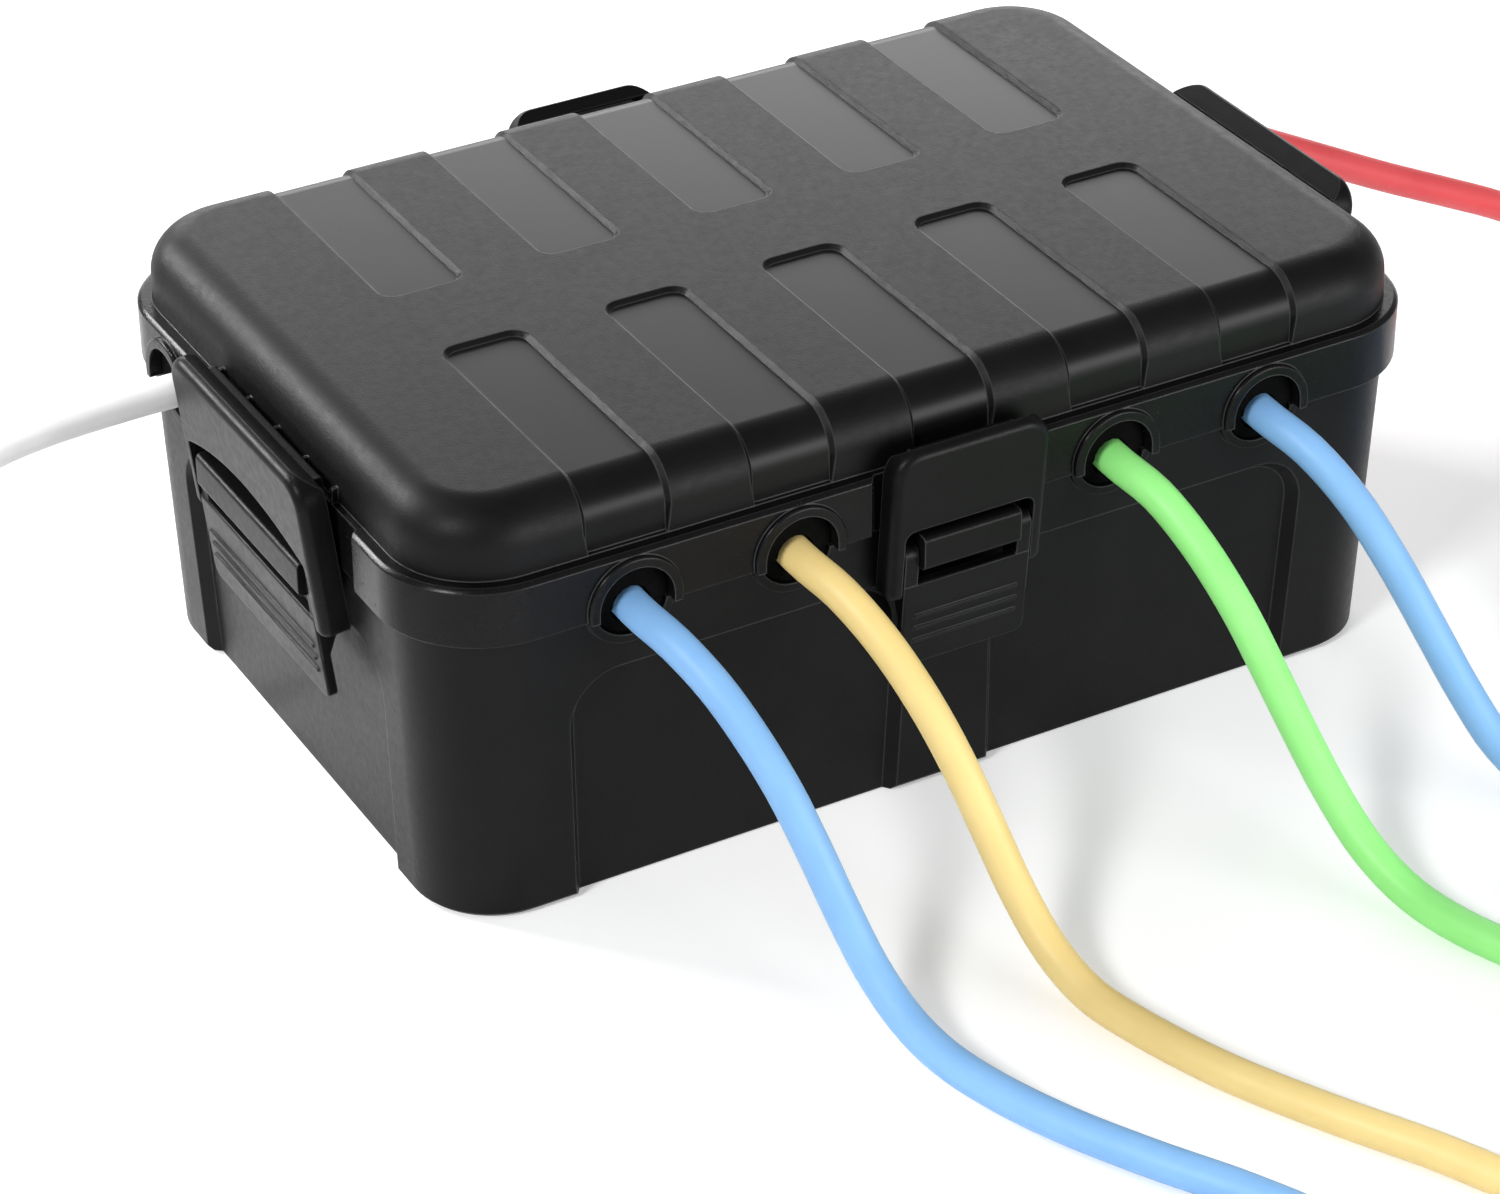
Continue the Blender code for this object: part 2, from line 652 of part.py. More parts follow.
for side, (_, _, _, side_angle) in SIDES.items():
    lean_angle = LATCHES[side]["lean"]
    pivot = side_point(side, LATCH_SHIFTS[side], PIVOT_V, PIVOT_Z)
    lean = Matrix.Rotation(side_angle, 3, "Z") @ Matrix.Rotation(lean_angle, 3, "X")
    trunnion = pivot + lean @ local(0.0, TRUNNION_V, TRUNNION_Z, PIVOT_V, PIVOT_Z)
    lever = make_lever(side)
    lever.location = pivot
    lever.rotation_euler = (lean_angle, 0.0, side_angle)
    bail = make_bail(side)
    bail.location = trunnion
    bail.rotation_euler = (lean_angle + BAIL_SLACKS[side], 0.0, side_angle)
    pin_shape = bmesh.new()
    pin_half = lever_half(side) - 0.0002
    add_rod(pin_shape, Vector((-pin_half, 0, 0)), Vector((pin_half, 0, 0)), PIN_RADIUS)
    pin = mesh_object("hinge_pin_" + side, pin_shape, "steel")
    pin.location = pivot
    pin.rotation_euler = (0.0, 0.0, side_angle)

# Outlet strip: tray, cover, contacts, surge board and controls

strip_centre = Vector(((STRIP_LEFT + STRIP_RIGHT) / 2, (STRIP_FRONT + STRIP_BACK) / 2, 0.0))
strip_half_x = (STRIP_RIGHT - STRIP_LEFT) / 2
strip_half_y = (STRIP_BACK - STRIP_FRONT) / 2


def strip_loop(inset, z):
    corner = max(STRIP_ROUND - inset, 0.0012)
    loop = rounded_loop(strip_half_x - inset, strip_half_y - inset, corner, z, 3)
    return [point + strip_centre for point in loop]


LIVE_SPINE = (OUTLET_Y + 0.0090, OUTLET_Y + 0.0120)
NEUTRAL_SPINE = (OUTLET_Y - 0.0040, OUTLET_Y - 0.0010)
EARTH_SPINE = (OUTLET_Y - 0.0145, OUTLET_Y - 0.0115)
SPINE_LEFT = OUTLETS[0] - 0.011
BOARD_LEFT = STRIP_RIGHT - 0.0245
BOARD_RIGHT = STRIP_RIGHT - 0.0035
BOARD_LOW = STRIP_SPLIT + 0.002

strip_tray = loft("strip_tray", [
    strip_loop(0.001, STRIP_BOTTOM), strip_loop(0.0, STRIP_BOTTOM + 0.001),
    strip_loop(0.0, STRIP_SPLIT)], "grey")
carve(strip_tray, loft("tray_room", [
    strip_loop(STRIP_WALL, STRIP_BOTTOM + STRIP_WALL), strip_loop(STRIP_WALL, STRIP_SPLIT + 0.01)]))
supports = bmesh.new()
for low_y, high_y in (LIVE_SPINE, NEUTRAL_SPINE, EARTH_SPINE):
    add_box(supports, (SPINE_LEFT, low_y + 0.0004, STRIP_BOTTOM + 0.001),
            (RIGHT_OUTLET - 0.011, high_y - 0.0004, CONTACT_LOW - FIT))
for post_y in (OUTLET_Y - 0.020, OUTLET_Y + 0.018):
    add_box(supports, (BOARD_LEFT + 0.0085, post_y, STRIP_BOTTOM + 0.001),
            (BOARD_LEFT + 0.0135, post_y + 0.004, BOARD_LOW - FIT))
join(strip_tray, supports)

strip_cover = loft("strip_cover", [
    strip_loop(0.0, STRIP_SPLIT + FIT), strip_loop(0.0, STRIP_TOP - 0.0018),
    strip_loop(0.0018, STRIP_TOP)], "grey")
carve(strip_cover, loft("cover_room", [
    strip_loop(STRIP_WALL, STRIP_SPLIT - 0.01), strip_loop(STRIP_WALL, STRIP_TOP - STRIP_WALL)]))
gland = bmesh.new()
add_rod(gland, Vector((GLAND_X, SIDE_PORT, STRIP_TOP - 0.001)),
        Vector((GLAND_X, SIDE_PORT, GLAND_TOP)), 0.0085,
        16, 0.0068)
join(strip_cover, gland)
slots = bmesh.new()
outlets = [(x, 0) for x in OUTLETS] + [(RIGHT_OUTLET, 1)]


def outlet_box(outlet_x, turned, low, high, low_z, high_z):
    if turned:
        low, high = (-high[1], low[0]), (-low[1], high[0])
    return ((outlet_x + low[0], OUTLET_Y + low[1], low_z), (outlet_x + high[0], OUTLET_Y + high[1], high_z))


for outlet_x, turned in outlets:
    for sign in (-1, 1):
        low = (sign * BLADE_SPACING - 0.0013, BLADE_BACK - 0.0037)
        high = (sign * BLADE_SPACING + 0.0013, BLADE_BACK + 0.0037)
        add_box(slots, *outlet_box(outlet_x, turned, low, high, STRIP_TOP - 0.006, STRIP_TOP + 0.004))
    offset = Vector((-EARTH_FRONT, 0, 0)) if turned else Vector((0, EARTH_FRONT, 0))
    centre = Vector((outlet_x, OUTLET_Y, 0)) + offset
    add_rod(slots, centre + UP * (STRIP_TOP - 0.006), centre + UP * (STRIP_TOP + 0.004),
            EARTH_RADIUS + 0.0005, 8)
add_box(slots, (SWITCH_X - 0.0065, SWITCH_Y - 0.0108, STRIP_TOP - 0.006),
        (SWITCH_X + 0.0065, SWITCH_Y + 0.0108, STRIP_TOP + 0.004))
for hole_y, hole_radius in ((BUTTON_Y, 0.0034), (LENS_Y, 0.0029)):
    centre = Vector((BUTTON_X, hole_y, 0))
    add_rod(slots, centre + UP * (STRIP_TOP - 0.006), centre + UP * (STRIP_TOP + 0.004), hole_radius)
carve(strip_cover, slots)


def make_busbar(name, spine, right_end, tabs):
    low_y, high_y = spine
    bar = bmesh.new()
    add_box(bar, (SPINE_LEFT, low_y, CONTACT_LOW), (right_end, high_y, CONTACT_HIGH))
    busbar = mesh_object(name, bar, "brass")
    teeth = bmesh.new()
    for tab_x, end_y in tabs:
        near = min(end_y, low_y + 0.001)
        far = max(end_y, high_y - 0.001)
        add_box(teeth, (tab_x, near, CONTACT_LOW + 0.0006), (tab_x + 0.0018, far, CONTACT_HIGH - 0.0006))
    join(busbar, teeth)


make_busbar("busbar_live", LIVE_SPINE, RIGHT_OUTLET - 0.002,
            [(x + BLADE_SPACING + 0.0012, OUTLET_Y + 0.0025) for x in OUTLETS])
make_busbar("busbar_neutral", NEUTRAL_SPINE, RIGHT_OUTLET - 0.0095,
            [(x - BLADE_SPACING - 0.0030, OUTLET_Y + 0.0060) for x in OUTLETS]
            + [(RIGHT_OUTLET - 0.0115, OUTLET_Y - 0.0075)])
make_busbar("busbar_earth", EARTH_SPINE, RIGHT_OUTLET + 0.0092,
            [(x + 0.0030, OUTLET_Y - 0.0070) for x in OUTLETS]
            + [(RIGHT_OUTLET + 0.0072, OUTLET_Y - 0.0030)])

board_shape = bmesh.new()
add_box(board_shape, (BOARD_LEFT, OUTLET_Y - 0.023, BOARD_LOW),
        (BOARD_RIGHT, OUTLET_Y + 0.023, BOARD_LOW + 0.0016))
surge_board = mesh_object("surge_board", board_shape, "board")
components = bmesh.new()
for disc_y in (OUTLET_Y - 0.016, OUTLET_Y - 0.004, OUTLET_Y + 0.008):
    middle = Vector((BOARD_LEFT + 0.0105, disc_y, BOARD_LOW + 0.0016 + 0.0055))
    add_rod(components, middle - Vector((0, 0.002, 0)), middle + Vector((0, 0.002, 0)), 0.0068, 14)
add_box(components, (BOARD_LEFT + 0.003, OUTLET_Y + 0.0135, BOARD_LOW + 0.001),
        (BOARD_LEFT + 0.018, OUTLET_Y + 0.020, BOARD_LOW + 0.009))
join(surge_board, components)

rocker_shape = bmesh.new()
rocker_profile = [(-0.0095, 0.0052), (-0.0095, 0.0010), (-0.0060, -0.0032), (0.0, -0.0046),
                  (0.0060, -0.0032), (0.0095, 0.0010), (0.0095, 0.0052), (0.0, 0.0038)]
add_loft(rocker_shape, [[Vector((x, y, z)) for y, z in rocker_profile] for x in (-0.0059, 0.0059)])
switch_rocker = mesh_object("switch_rocker", rocker_shape, "red_switch")
switch_rocker.location = (SWITCH_X, SWITCH_Y, SWITCH_PIVOT)
switch_rocker.rotation_euler = (-SWITCH_TILT, 0.0, 0.0)

button_shape = bmesh.new()
add_rod(button_shape, UP * -0.0065, UP * 0.0022, 0.0029)
reset_button = mesh_object("reset_button", button_shape, "black")
reset_button.location = (BUTTON_X, BUTTON_Y, STRIP_TOP)
lens_shape = bmesh.new()
add_rod(lens_shape, UP * -0.0040, UP * 0.0008, 0.0025)
indicator_lens = mesh_object("indicator_lens", lens_shape, "amber")
indicator_lens.location = (BUTTON_X, LENS_Y, STRIP_TOP)

# Plugs in the strip: the cord leaves along -Y, and the right one is turned to +X


def make_plug(name, colour, outlet_x, turned):
    half = PLUG_WIDTH / 2
    front = -PLUG_LENGTH / 2 - 0.002
    back = PLUG_LENGTH / 2 - 0.002
    shape = bmesh.new()
    edge = 0.003
    loops = []
    for inset, z in ((0.0, FIT), (0.0, PLUG_HEIGHT - edge), (edge, PLUG_HEIGHT)):
        plan = [(-half + inset, front + inset), (half - inset, front + inset),
                (half - inset, back - inset), (-half + inset, back - inset)]
        loops.append([Vector((x, y, z)) for x, y in plan])
    add_loft(shape, loops)
    plug = mesh_object(name, shape, colour)
    extras = bmesh.new()
    cord_z = PLUG_HEIGHT / 2
    add_rod(extras, Vector((0, front - PLUG_RELIEF, cord_z)), Vector((0, front + 0.001, cord_z)),
            0.0060, 12, 0.0082)
    for sign in (-1, 1):
        add_box(extras, (sign * BLADE_SPACING - 0.00075, BLADE_BACK - 0.00315, -BLADE_LENGTH),
                (sign * BLADE_SPACING + 0.00075, BLADE_BACK + 0.00315, 0.002))
    add_rod(extras, Vector((0, EARTH_FRONT, -BLADE_LENGTH)), Vector((0, EARTH_FRONT, 0.002)),
            EARTH_RADIUS, 8)
    join(plug, extras)
    plug.location = (outlet_x, OUTLET_Y, STRIP_TOP)
    plug.rotation_euler = (0.0, 0.0, math.pi / 2 if turned else 0.0)
    return plug


for plug_name, outlet_x in zip(PORT_NAMES, OUTLETS):
    make_plug("plug_" + plug_name, plug_name, outlet_x, False)
make_plug("plug_red", "red", RIGHT_OUTLET, True)

# Cords: a smooth curve through hand-laid points, then the put-away coil and its end fitting

PLUG_CORD_Y = OUTLET_Y - PLUG_LENGTH / 2 - 0.002 - PLUG_RELIEF - FIT
PLUG_CORD_Z = STRIP_TOP + PLUG_HEIGHT / 2
RED_CORD_X = RIGHT_OUTLET + PLUG_LENGTH / 2 + 0.002 + PLUG_RELIEF + FIT

# Each point's height is a share of the way from the plug, then from the floor, up to the port
ROUTES = {
    "blue_left": ([
        (-0.079, PLUG_CORD_Y, 0.0), (-0.079, 0.0070, 0.0095), (-0.081, -0.012, 0.0952),
        (-0.086, -0.034, 0.381), (-0.091, -0.055, 0.7143), (-0.0945, -0.073, 0.9397),
        (-0.095, -0.087, 1.0), (-0.095, -0.104, 1.0),
    ], [
        (-0.0925, -0.116, 0.9721), (-0.0883, -0.128, 0.8886), (-0.0844, -0.138, 0.7759),
        (-0.0805, -0.1485, 0.6305), (-0.0773, -0.158, 0.4670), (-0.0745, -0.167, 0.3035),
        (-0.0718, -0.177, 0.1532), (-0.0690, -0.189, 0.0466), (-0.0664, -0.203, 0.0055),
        (-0.0620, -0.220, 0.0), (-0.0545, -0.239, 0.0), (-0.0440, -0.259, 0.0), (-0.0310, -0.281, 0.0),
        (-0.0195, -0.305, 0.0), (-0.0112, -0.333, 0.0),
    ]),
    "yellow": ([
        (-0.048, PLUG_CORD_Y, 0.0), (-0.048, 0.0070, 0.0095), (-0.048, -0.012, 0.0952),
        (-0.048, -0.034, 0.381), (-0.0479, -0.055, 0.7143), (-0.0477, -0.073, 0.9397),
        (-0.0477, -0.087, 1.0), (-0.0477, -0.104, 1.0),
    ], [
        (-0.0448, -0.115, 0.9649), (-0.0403, -0.128, 0.8643), (-0.0358, -0.141, 0.7153),
        (-0.0322, -0.152, 0.5518), (-0.0292, -0.162, 0.3761), (-0.0265, -0.173, 0.1969),
        (-0.0243, -0.185, 0.0709), (-0.0222, -0.199, 0.0103), (-0.0180, -0.217, 0.0),
        (-0.0098, -0.241, 0.0), (0.0030, -0.267, 0.0), (0.0175, -0.293, 0.0), (0.0310, -0.324, 0.0),
        (0.0405, -0.352, 0.0),
    ]),
    "green": ([
        (-0.017, PLUG_CORD_Y, 0.0), (-0.017, 0.0085, 0.0032), (-0.013, -0.011, 0.0635),
        (-0.0015, -0.0275, 0.2349), (0.0153, -0.0375, 0.4921), (0.0320, -0.0475, 0.7492),
        (0.0436, -0.064, 0.9302), (0.0477, -0.086, 1.0), (0.0477, -0.104, 1.0),
    ], [
        (0.0502, -0.116, 0.9673), (0.0537, -0.130, 0.8631), (0.0573, -0.144, 0.7081),
        (0.0601, -0.156, 0.5409), (0.0627, -0.1675, 0.3761), (0.0654, -0.179, 0.2211),
        (0.0682, -0.192, 0.0927), (0.0716, -0.207, 0.0176), (0.0765, -0.226, 0.0), (0.0860, -0.248, 0.0),
        (0.1035, -0.274, 0.0), (0.1270, -0.299, 0.0),
    ]),
    "blue_right": ([
        (0.014, PLUG_CORD_Y, 0.0), (0.014, 0.0085, 0.0032), (0.0192, -0.0124, 0.0635),
        (0.0341, -0.0300, 0.2444), (0.0544, -0.0375, 0.4984), (0.0749, -0.0450, 0.7524),
        (0.0898, -0.0626, 0.9302), (0.095, -0.085, 1.0), (0.095, -0.104, 1.0),
    ], [
        (0.0985, -0.116, 0.9552), (0.1042, -0.129, 0.8304), (0.1092, -0.1415, 0.6608),
        (0.1140, -0.153, 0.4706), (0.1186, -0.164, 0.2865), (0.1236, -0.175, 0.1290),
        (0.1300, -0.187, 0.0369), (0.1400, -0.1985, 0.0042), (0.1570, -0.2065, 0.0),
        (0.1800, -0.2085, 0.0), (0.2080, -0.2055, 0.0), (0.2330, -0.2028, 0.0),
    ]),
    "red": ([
        (RED_CORD_X, OUTLET_Y, 0.0), (0.0785, 0.0440, 0.0063), (0.0950, 0.0457, 0.1397),
        (0.1095, 0.0505, 0.4921), (0.1240, 0.0553, 0.8635), (0.1420, 0.057, 1.0), (0.1570, 0.057, 1.0),
    ], [
        (0.1730, 0.0568, 0.9697), (0.1910, 0.0562, 0.8910), (0.2110, 0.0555, 0.7735),
        (0.2310, 0.0550, 0.6523), (0.2530, 0.0548, 0.5191), (0.2760, 0.0545, 0.3882),
        (0.2980, 0.0548, 0.2574), (0.3160, 0.0555, 0.1278), (0.3300, 0.0564, 0.0394),
    ]),
    "white": ([
        (GLAND_X, SIDE_PORT, 0.0), (-0.1066, SIDE_PORT, 0.1098), (-0.1081, SIDE_PORT, 0.3415),
        (-0.1120, SIDE_PORT, 0.5561), (-0.1187, SIDE_PORT, 0.7439), (-0.1277, SIDE_PORT, 0.8878),
        (-0.1385, SIDE_PORT, 0.978), (-0.1470, SIDE_PORT, 1.0), (-0.1570, SIDE_PORT, 1.0),
    ], [
        (-0.1730, SIDE_PORT, 0.9952), (-0.1900, SIDE_PORT, 0.9818), (-0.2040, SIDE_PORT, 0.9528),
        (-0.2190, SIDE_PORT, 0.8849), (-0.2325, SIDE_PORT, 0.7759), (-0.2445, SIDE_PORT, 0.6305),
        (-0.2550, SIDE_PORT, 0.4609), (-0.2655, SIDE_PORT, 0.2938), (-0.2775, SIDE_PORT, 0.1399),
        (-0.2910, SIDE_PORT, 0.0394),
    ]),
}

# Coil start, heading in degrees, side it turns to (1 left, -1 right) and how far it turns
COILS = {
    "blue_left": ((-0.008, -0.368), -90.0, -1, 810.0),
    "yellow": ((0.0514, -0.3809), -69.5, 1, 789.5),
    "green": ((0.1556, -0.3202), -36.87, 1, 756.87),
    "blue_right": ((0.258, -0.202), 0.0, 1, 720.0),
    "red": ((0.353, 0.057), 0.0, -1, 810.0),
    "white": ((-0.317, 0.057), 180.0, 1, 810.0),
}


def route_points(name):
    start_z = GLAND_TOP + FIT if name == "white" else PLUG_CORD_Z
    inside, outside = ROUTES[name]
    points = [(x, y, start_z + (CORD_HEIGHT - start_z) * share) for x, y, share in inside]
    return points + [(x, y, CORD_FLOOR + (CORD_HEIGHT - CORD_FLOOR) * share) for x, y, share in outside]


def smooth_route(points, step):
    """Points along a centripetal curve that passes through every given point."""
    knots = [Vector(point) for point in points]
    knots = [knots[0] * 2 - knots[1]] + knots + [knots[-1] * 2 - knots[-2]]
    route = [knots[1]]
    for a, b, c, d in zip(knots, knots[1:], knots[2:], knots[3:]):
        t0 = 0.0
        t1 = t0 + (b - a).length ** 0.5
        t2 = t1 + (c - b).length ** 0.5
        t3 = t2 + (d - c).length ** 0.5
        pieces = max(1, round((c - b).length / step))
        for i in range(1, pieces + 1):
            t = t1 + (t2 - t1) * i / pieces
            ab = a * ((t1 - t) / (t1 - t0)) + b * ((t - t0) / (t1 - t0))
            bc = b * ((t2 - t) / (t2 - t1)) + c * ((t - t1) / (t2 - t1))
            cd = c * ((t3 - t) / (t3 - t2)) + d * ((t - t2) / (t3 - t2))
            abc = ab * ((t2 - t) / (t2 - t0)) + bc * ((t - t0) / (t2 - t0))
            bcd = bc * ((t3 - t) / (t3 - t1)) + cd * ((t - t1) / (t3 - t1))
            route.append(abc * ((t2 - t) / (t2 - t1)) + bcd * ((t - t1) / (t2 - t1)))
    return route


def coil_points(start, heading, turn, sweep):
    """Two layers: in at a steady rate, up a layer in the half turn where it reverses, and out again."""
    direction = Vector((math.cos(heading), math.sin(heading), 0))
    side = Vector((-direction.y, direction.x, 0)) * turn
    centre = Vector((*start, 0)) + side * COIL_RADIUS
    first = math.atan2(-side.y, -side.x)
    steps = math.ceil(sweep / (2 * math.pi) * COIL_STEPS)
    points = []
    for i in range(steps + 1):
        angle = sweep * i / steps
        radius = COIL_RADIUS - COIL_PITCH * min(angle, sweep - angle) / (2 * math.pi)
        climb = min(max((angle - sweep / 2) / math.pi + 0.5, 0.0), 1.0)
        climb = climb * climb * (3 - 2 * climb)
        where = first + turn * angle
        points.append(centre + Vector((math.cos(where), math.sin(where), 0)) * radius
                      + UP * (CORD_FLOOR + COIL_RISE * climb))
    last = heading + turn * sweep
    leaving = Vector((math.cos(last), math.sin(last), 0))
    lead = 2 * CORD_RADIUS
    points.insert(0, points[0] - direction * lead)
    points.append(points[-1] + leaving * COIL_TAIL)
    return points, direction, leaving


def make_tube(name, points, colour, resolution):
    curve = bpy.data.curves.new(name, "CURVE")
    curve.dimensions = "3D"
    curve.fill_mode = "FULL"
    curve.bevel_depth = CORD_RADIUS
    curve.bevel_resolution = resolution
    curve.use_fill_caps = True
    spline = curve.splines.new("POLY")
    spline.points.add(len(points) - 1)
    for slot, point in zip(spline.points, points):
        slot.co = (*point, 1.0)
    return finish_object(name, curve, colour)


def segment_gap(a, b, c, d):
    best = 1.0
    for i in range(5):
        p = a.lerp(b, i / 4)
        along = d - c
        t = min(max((p - c).dot(along) / along.length_squared, 0.0), 1.0)
        best = min(best, (p - (c + along * t)).length)
    return best


def least_gap(points):
    best = 1.0
    reach = COIL_STEPS // 3
    for i in range(len(points) - 1):
        for j in range(i + reach, len(points) - 1):
            best = min(best, segment_gap(points[i], points[i + 1], points[j], points[j + 1]))
    return best - 2 * CORD_RADIUS


def make_end(name, colour, start, direction, with_blades):
    """An in-line socket or a mains plug, turned about the cord's end."""
    across = Vector((-direction.y, direction.x, 0))
    profile = [(0.0, 0.0060), (END_RELIEF - 0.002, 0.0085), (END_RELIEF, END_RADIUS - 0.003),
               (END_RELIEF + 0.003, END_RADIUS), (END_RELIEF + END_BODY - 0.002, END_RADIUS),
               (END_RELIEF + END_BODY, END_RADIUS - 0.002)]
    loops = []
    sides = 12
    for distance, radius in profile:
        ring = []
        for i in range(sides):
            angle = 2 * math.pi * (i + 0.5) / sides
            offset = across * math.cos(angle) + UP * math.sin(angle)
            ring.append(start + direction * distance + offset * radius)
        loops.append(ring)
    end = loft(name, loops, colour)
    face = start + direction * (END_RELIEF + END_BODY)
    pieces = bmesh.new()
    inside, outside = (-0.002, 0.016) if with_blades else (-0.016, 0.004)
    for sign in (-1, 1):
        half_thick, half_wide = (0.00075, 0.00315) if with_blades else (0.0012, 0.0037)
        loops = []
        for distance in (inside, outside):
            middle = face + direction * distance + across * (sign * BLADE_SPACING) + UP * 0.003
            corners = ((-1, -1), (1, -1), (1, 1), (-1, 1))
            loops.append([middle + across * (a * half_thick) + UP * (b * half_wide) for a, b in corners])
        add_loft(pieces, loops)
    radius = EARTH_RADIUS if with_blades else EARTH_RADIUS + 0.0004
    low = face - UP * 0.006
    add_rod(pieces, low + direction * inside, low + direction * outside, radius, 8)
    carve(end, pieces, "UNION" if with_blades else "DIFFERENCE")


for name, (coil_start, heading_degrees, turn, sweep_degrees) in COILS.items():
    loops, arriving, leaving = coil_points(
        coil_start, math.radians(heading_degrees), turn, math.radians(sweep_degrees))
    print("coil", name, "least gap to itself, mm:", round(least_gap(loops) * 1000, 2))
    make_tube("coil_" + name, loops, name, 1)
    route_end = loops[0] - arriving * FIT
    lead_in = [tuple(route_end - arriving * 0.010), tuple(route_end)]
    route = smooth_route(route_points(name) + lead_in, CORD_STEP)
    make_tube("cord_" + name, route, name, 2)
    lengths = [sum((b - a).length for a, b in zip(line, line[1:])) for line in (route, loops)]
    print("cord", name, "length, m:", round(sum(lengths), 3), "points:", len(route), len(loops))
    end_name = "mains_plug" if name == "white" else "socket_" + name
    make_end(end_name, name, loops[-1] + leaving * FIT, leaving, name == "white")
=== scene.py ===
# The looks of a weatherproof cable box: lid, base, latches, seals, outlet strip and coloured cords.
# Lengths are in metres.
import json
import math

import bmesh
import bpy
from mathutils import Matrix, Vector

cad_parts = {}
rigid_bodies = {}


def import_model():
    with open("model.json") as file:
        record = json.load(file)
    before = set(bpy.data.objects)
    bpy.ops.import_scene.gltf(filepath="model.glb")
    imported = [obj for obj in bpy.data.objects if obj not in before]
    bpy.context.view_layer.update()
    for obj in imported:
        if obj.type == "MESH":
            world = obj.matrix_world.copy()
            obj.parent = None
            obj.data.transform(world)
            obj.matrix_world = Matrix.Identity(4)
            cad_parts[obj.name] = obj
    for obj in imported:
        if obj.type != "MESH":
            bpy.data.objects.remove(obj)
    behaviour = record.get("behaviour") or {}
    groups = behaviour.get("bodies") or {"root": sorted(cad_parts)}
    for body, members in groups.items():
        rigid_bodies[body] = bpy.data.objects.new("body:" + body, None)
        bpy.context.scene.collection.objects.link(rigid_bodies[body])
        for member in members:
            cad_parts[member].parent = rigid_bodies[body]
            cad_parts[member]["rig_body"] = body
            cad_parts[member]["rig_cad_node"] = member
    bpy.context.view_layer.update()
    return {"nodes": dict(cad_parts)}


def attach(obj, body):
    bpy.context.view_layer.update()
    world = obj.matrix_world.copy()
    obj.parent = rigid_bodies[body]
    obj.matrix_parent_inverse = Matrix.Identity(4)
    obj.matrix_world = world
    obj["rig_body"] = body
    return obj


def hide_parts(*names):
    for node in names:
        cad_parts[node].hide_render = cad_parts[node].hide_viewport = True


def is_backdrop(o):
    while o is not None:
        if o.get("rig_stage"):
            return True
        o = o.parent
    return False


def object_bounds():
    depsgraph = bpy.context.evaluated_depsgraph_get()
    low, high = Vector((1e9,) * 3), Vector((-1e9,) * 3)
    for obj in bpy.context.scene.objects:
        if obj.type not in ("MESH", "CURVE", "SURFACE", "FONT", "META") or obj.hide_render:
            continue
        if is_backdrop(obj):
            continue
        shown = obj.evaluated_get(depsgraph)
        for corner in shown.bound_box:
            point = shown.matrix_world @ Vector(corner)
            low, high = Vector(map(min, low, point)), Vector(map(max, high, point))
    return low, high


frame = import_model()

nodes = frame["nodes"]
UP = Vector((0.0, 0.0, 1.0))
PORT_NAMES = ("blue_left", "yellow", "green", "blue_right", "red", "white")
SIDES = ("front", "right", "back", "left")

# Camera, at the photograph's viewing angle
AZIMUTH = math.radians(-29.465)
ELEVATION = math.radians(32.699)
ROLL = math.radians(-0.267)
CAMERA_PLACE = Vector((-0.53492, -0.93665, 0.69726))
LENS = 108.60
SENSOR_WIDTH = 36.0

forward = Vector((-math.sin(AZIMUTH) * math.cos(ELEVATION), math.cos(AZIMUTH) * math.cos(ELEVATION),
                  -math.sin(ELEVATION)))
level = Vector((math.cos(AZIMUTH), math.sin(AZIMUTH), 0.0))
upright = level.cross(forward)
camera_right = level * math.cos(ROLL) + upright * math.sin(ROLL)
camera_up = upright * math.cos(ROLL) - level * math.sin(ROLL)
camera_data = bpy.data.cameras.new("camera")
camera_data.lens = LENS
camera_data.sensor_width = SENSOR_WIDTH
camera_data.clip_start = 0.01
camera = bpy.data.objects.new("camera", camera_data)
bpy.context.scene.collection.objects.link(camera)
turned = Matrix((camera_right, camera_up, -forward)).transposed().to_4x4()
camera.matrix_world = Matrix.Translation(CAMERA_PLACE) @ turned
bpy.context.scene.camera = camera
bpy.context.scene.view_settings.view_transform = "Standard"

# Modelling helpers
SMOOTH_ANGLE = 34
NEAR = 0.00001
# How far cutters run past what they cut
OVERRUN = 0.001
FAR_OVERRUN = 0.010


def clear_selection():
    if bpy.context.object and bpy.context.object.mode != "OBJECT":
        bpy.ops.object.mode_set(mode="OBJECT")
    bpy.ops.object.select_all(action="DESELECT")


def take(piece):
    clear_selection()
    piece.select_set(True)
    bpy.context.view_layer.objects.active = piece


def open_piece(name):
    """Names the primitive that was just added and opens it for editing."""
    piece = bpy.context.object
    piece.name = name
    bpy.ops.object.mode_set(mode="EDIT")
    return piece


def close_piece():
    bpy.ops.object.mode_set(mode="OBJECT")


def pick_faces(test):
    bpy.ops.mesh.select_mode(type="FACE")
    bpy.ops.mesh.select_all(action="DESELECT")
    data = bpy.context.object.data
    shape = bmesh.from_edit_mesh(data)
    for face in shape.faces:
        if test(face.calc_center_median(), face.normal):
            face.select_set(True)
    bmesh.update_edit_mesh(data)


def pick_edges(test):
    bpy.ops.mesh.select_mode(type="EDGE")
    bpy.ops.mesh.select_all(action="DESELECT")
    data = bpy.context.object.data
    shape = bmesh.from_edit_mesh(data)
    for edge in shape.edges:
        if test(edge.verts[0].co, edge.verts[1].co):
            edge.select_set(True)
    bmesh.update_edit_mesh(data)


def extrude(x, y, z):
    bpy.ops.mesh.extrude_region_move(TRANSFORM_OT_translate={"value": (x, y, z)})


def round_edges(width, segments, profile=0.5):
    bpy.ops.mesh.bevel(offset=width, segments=segments, profile=profile, affect="EDGES",
                       clamp_overlap=False)


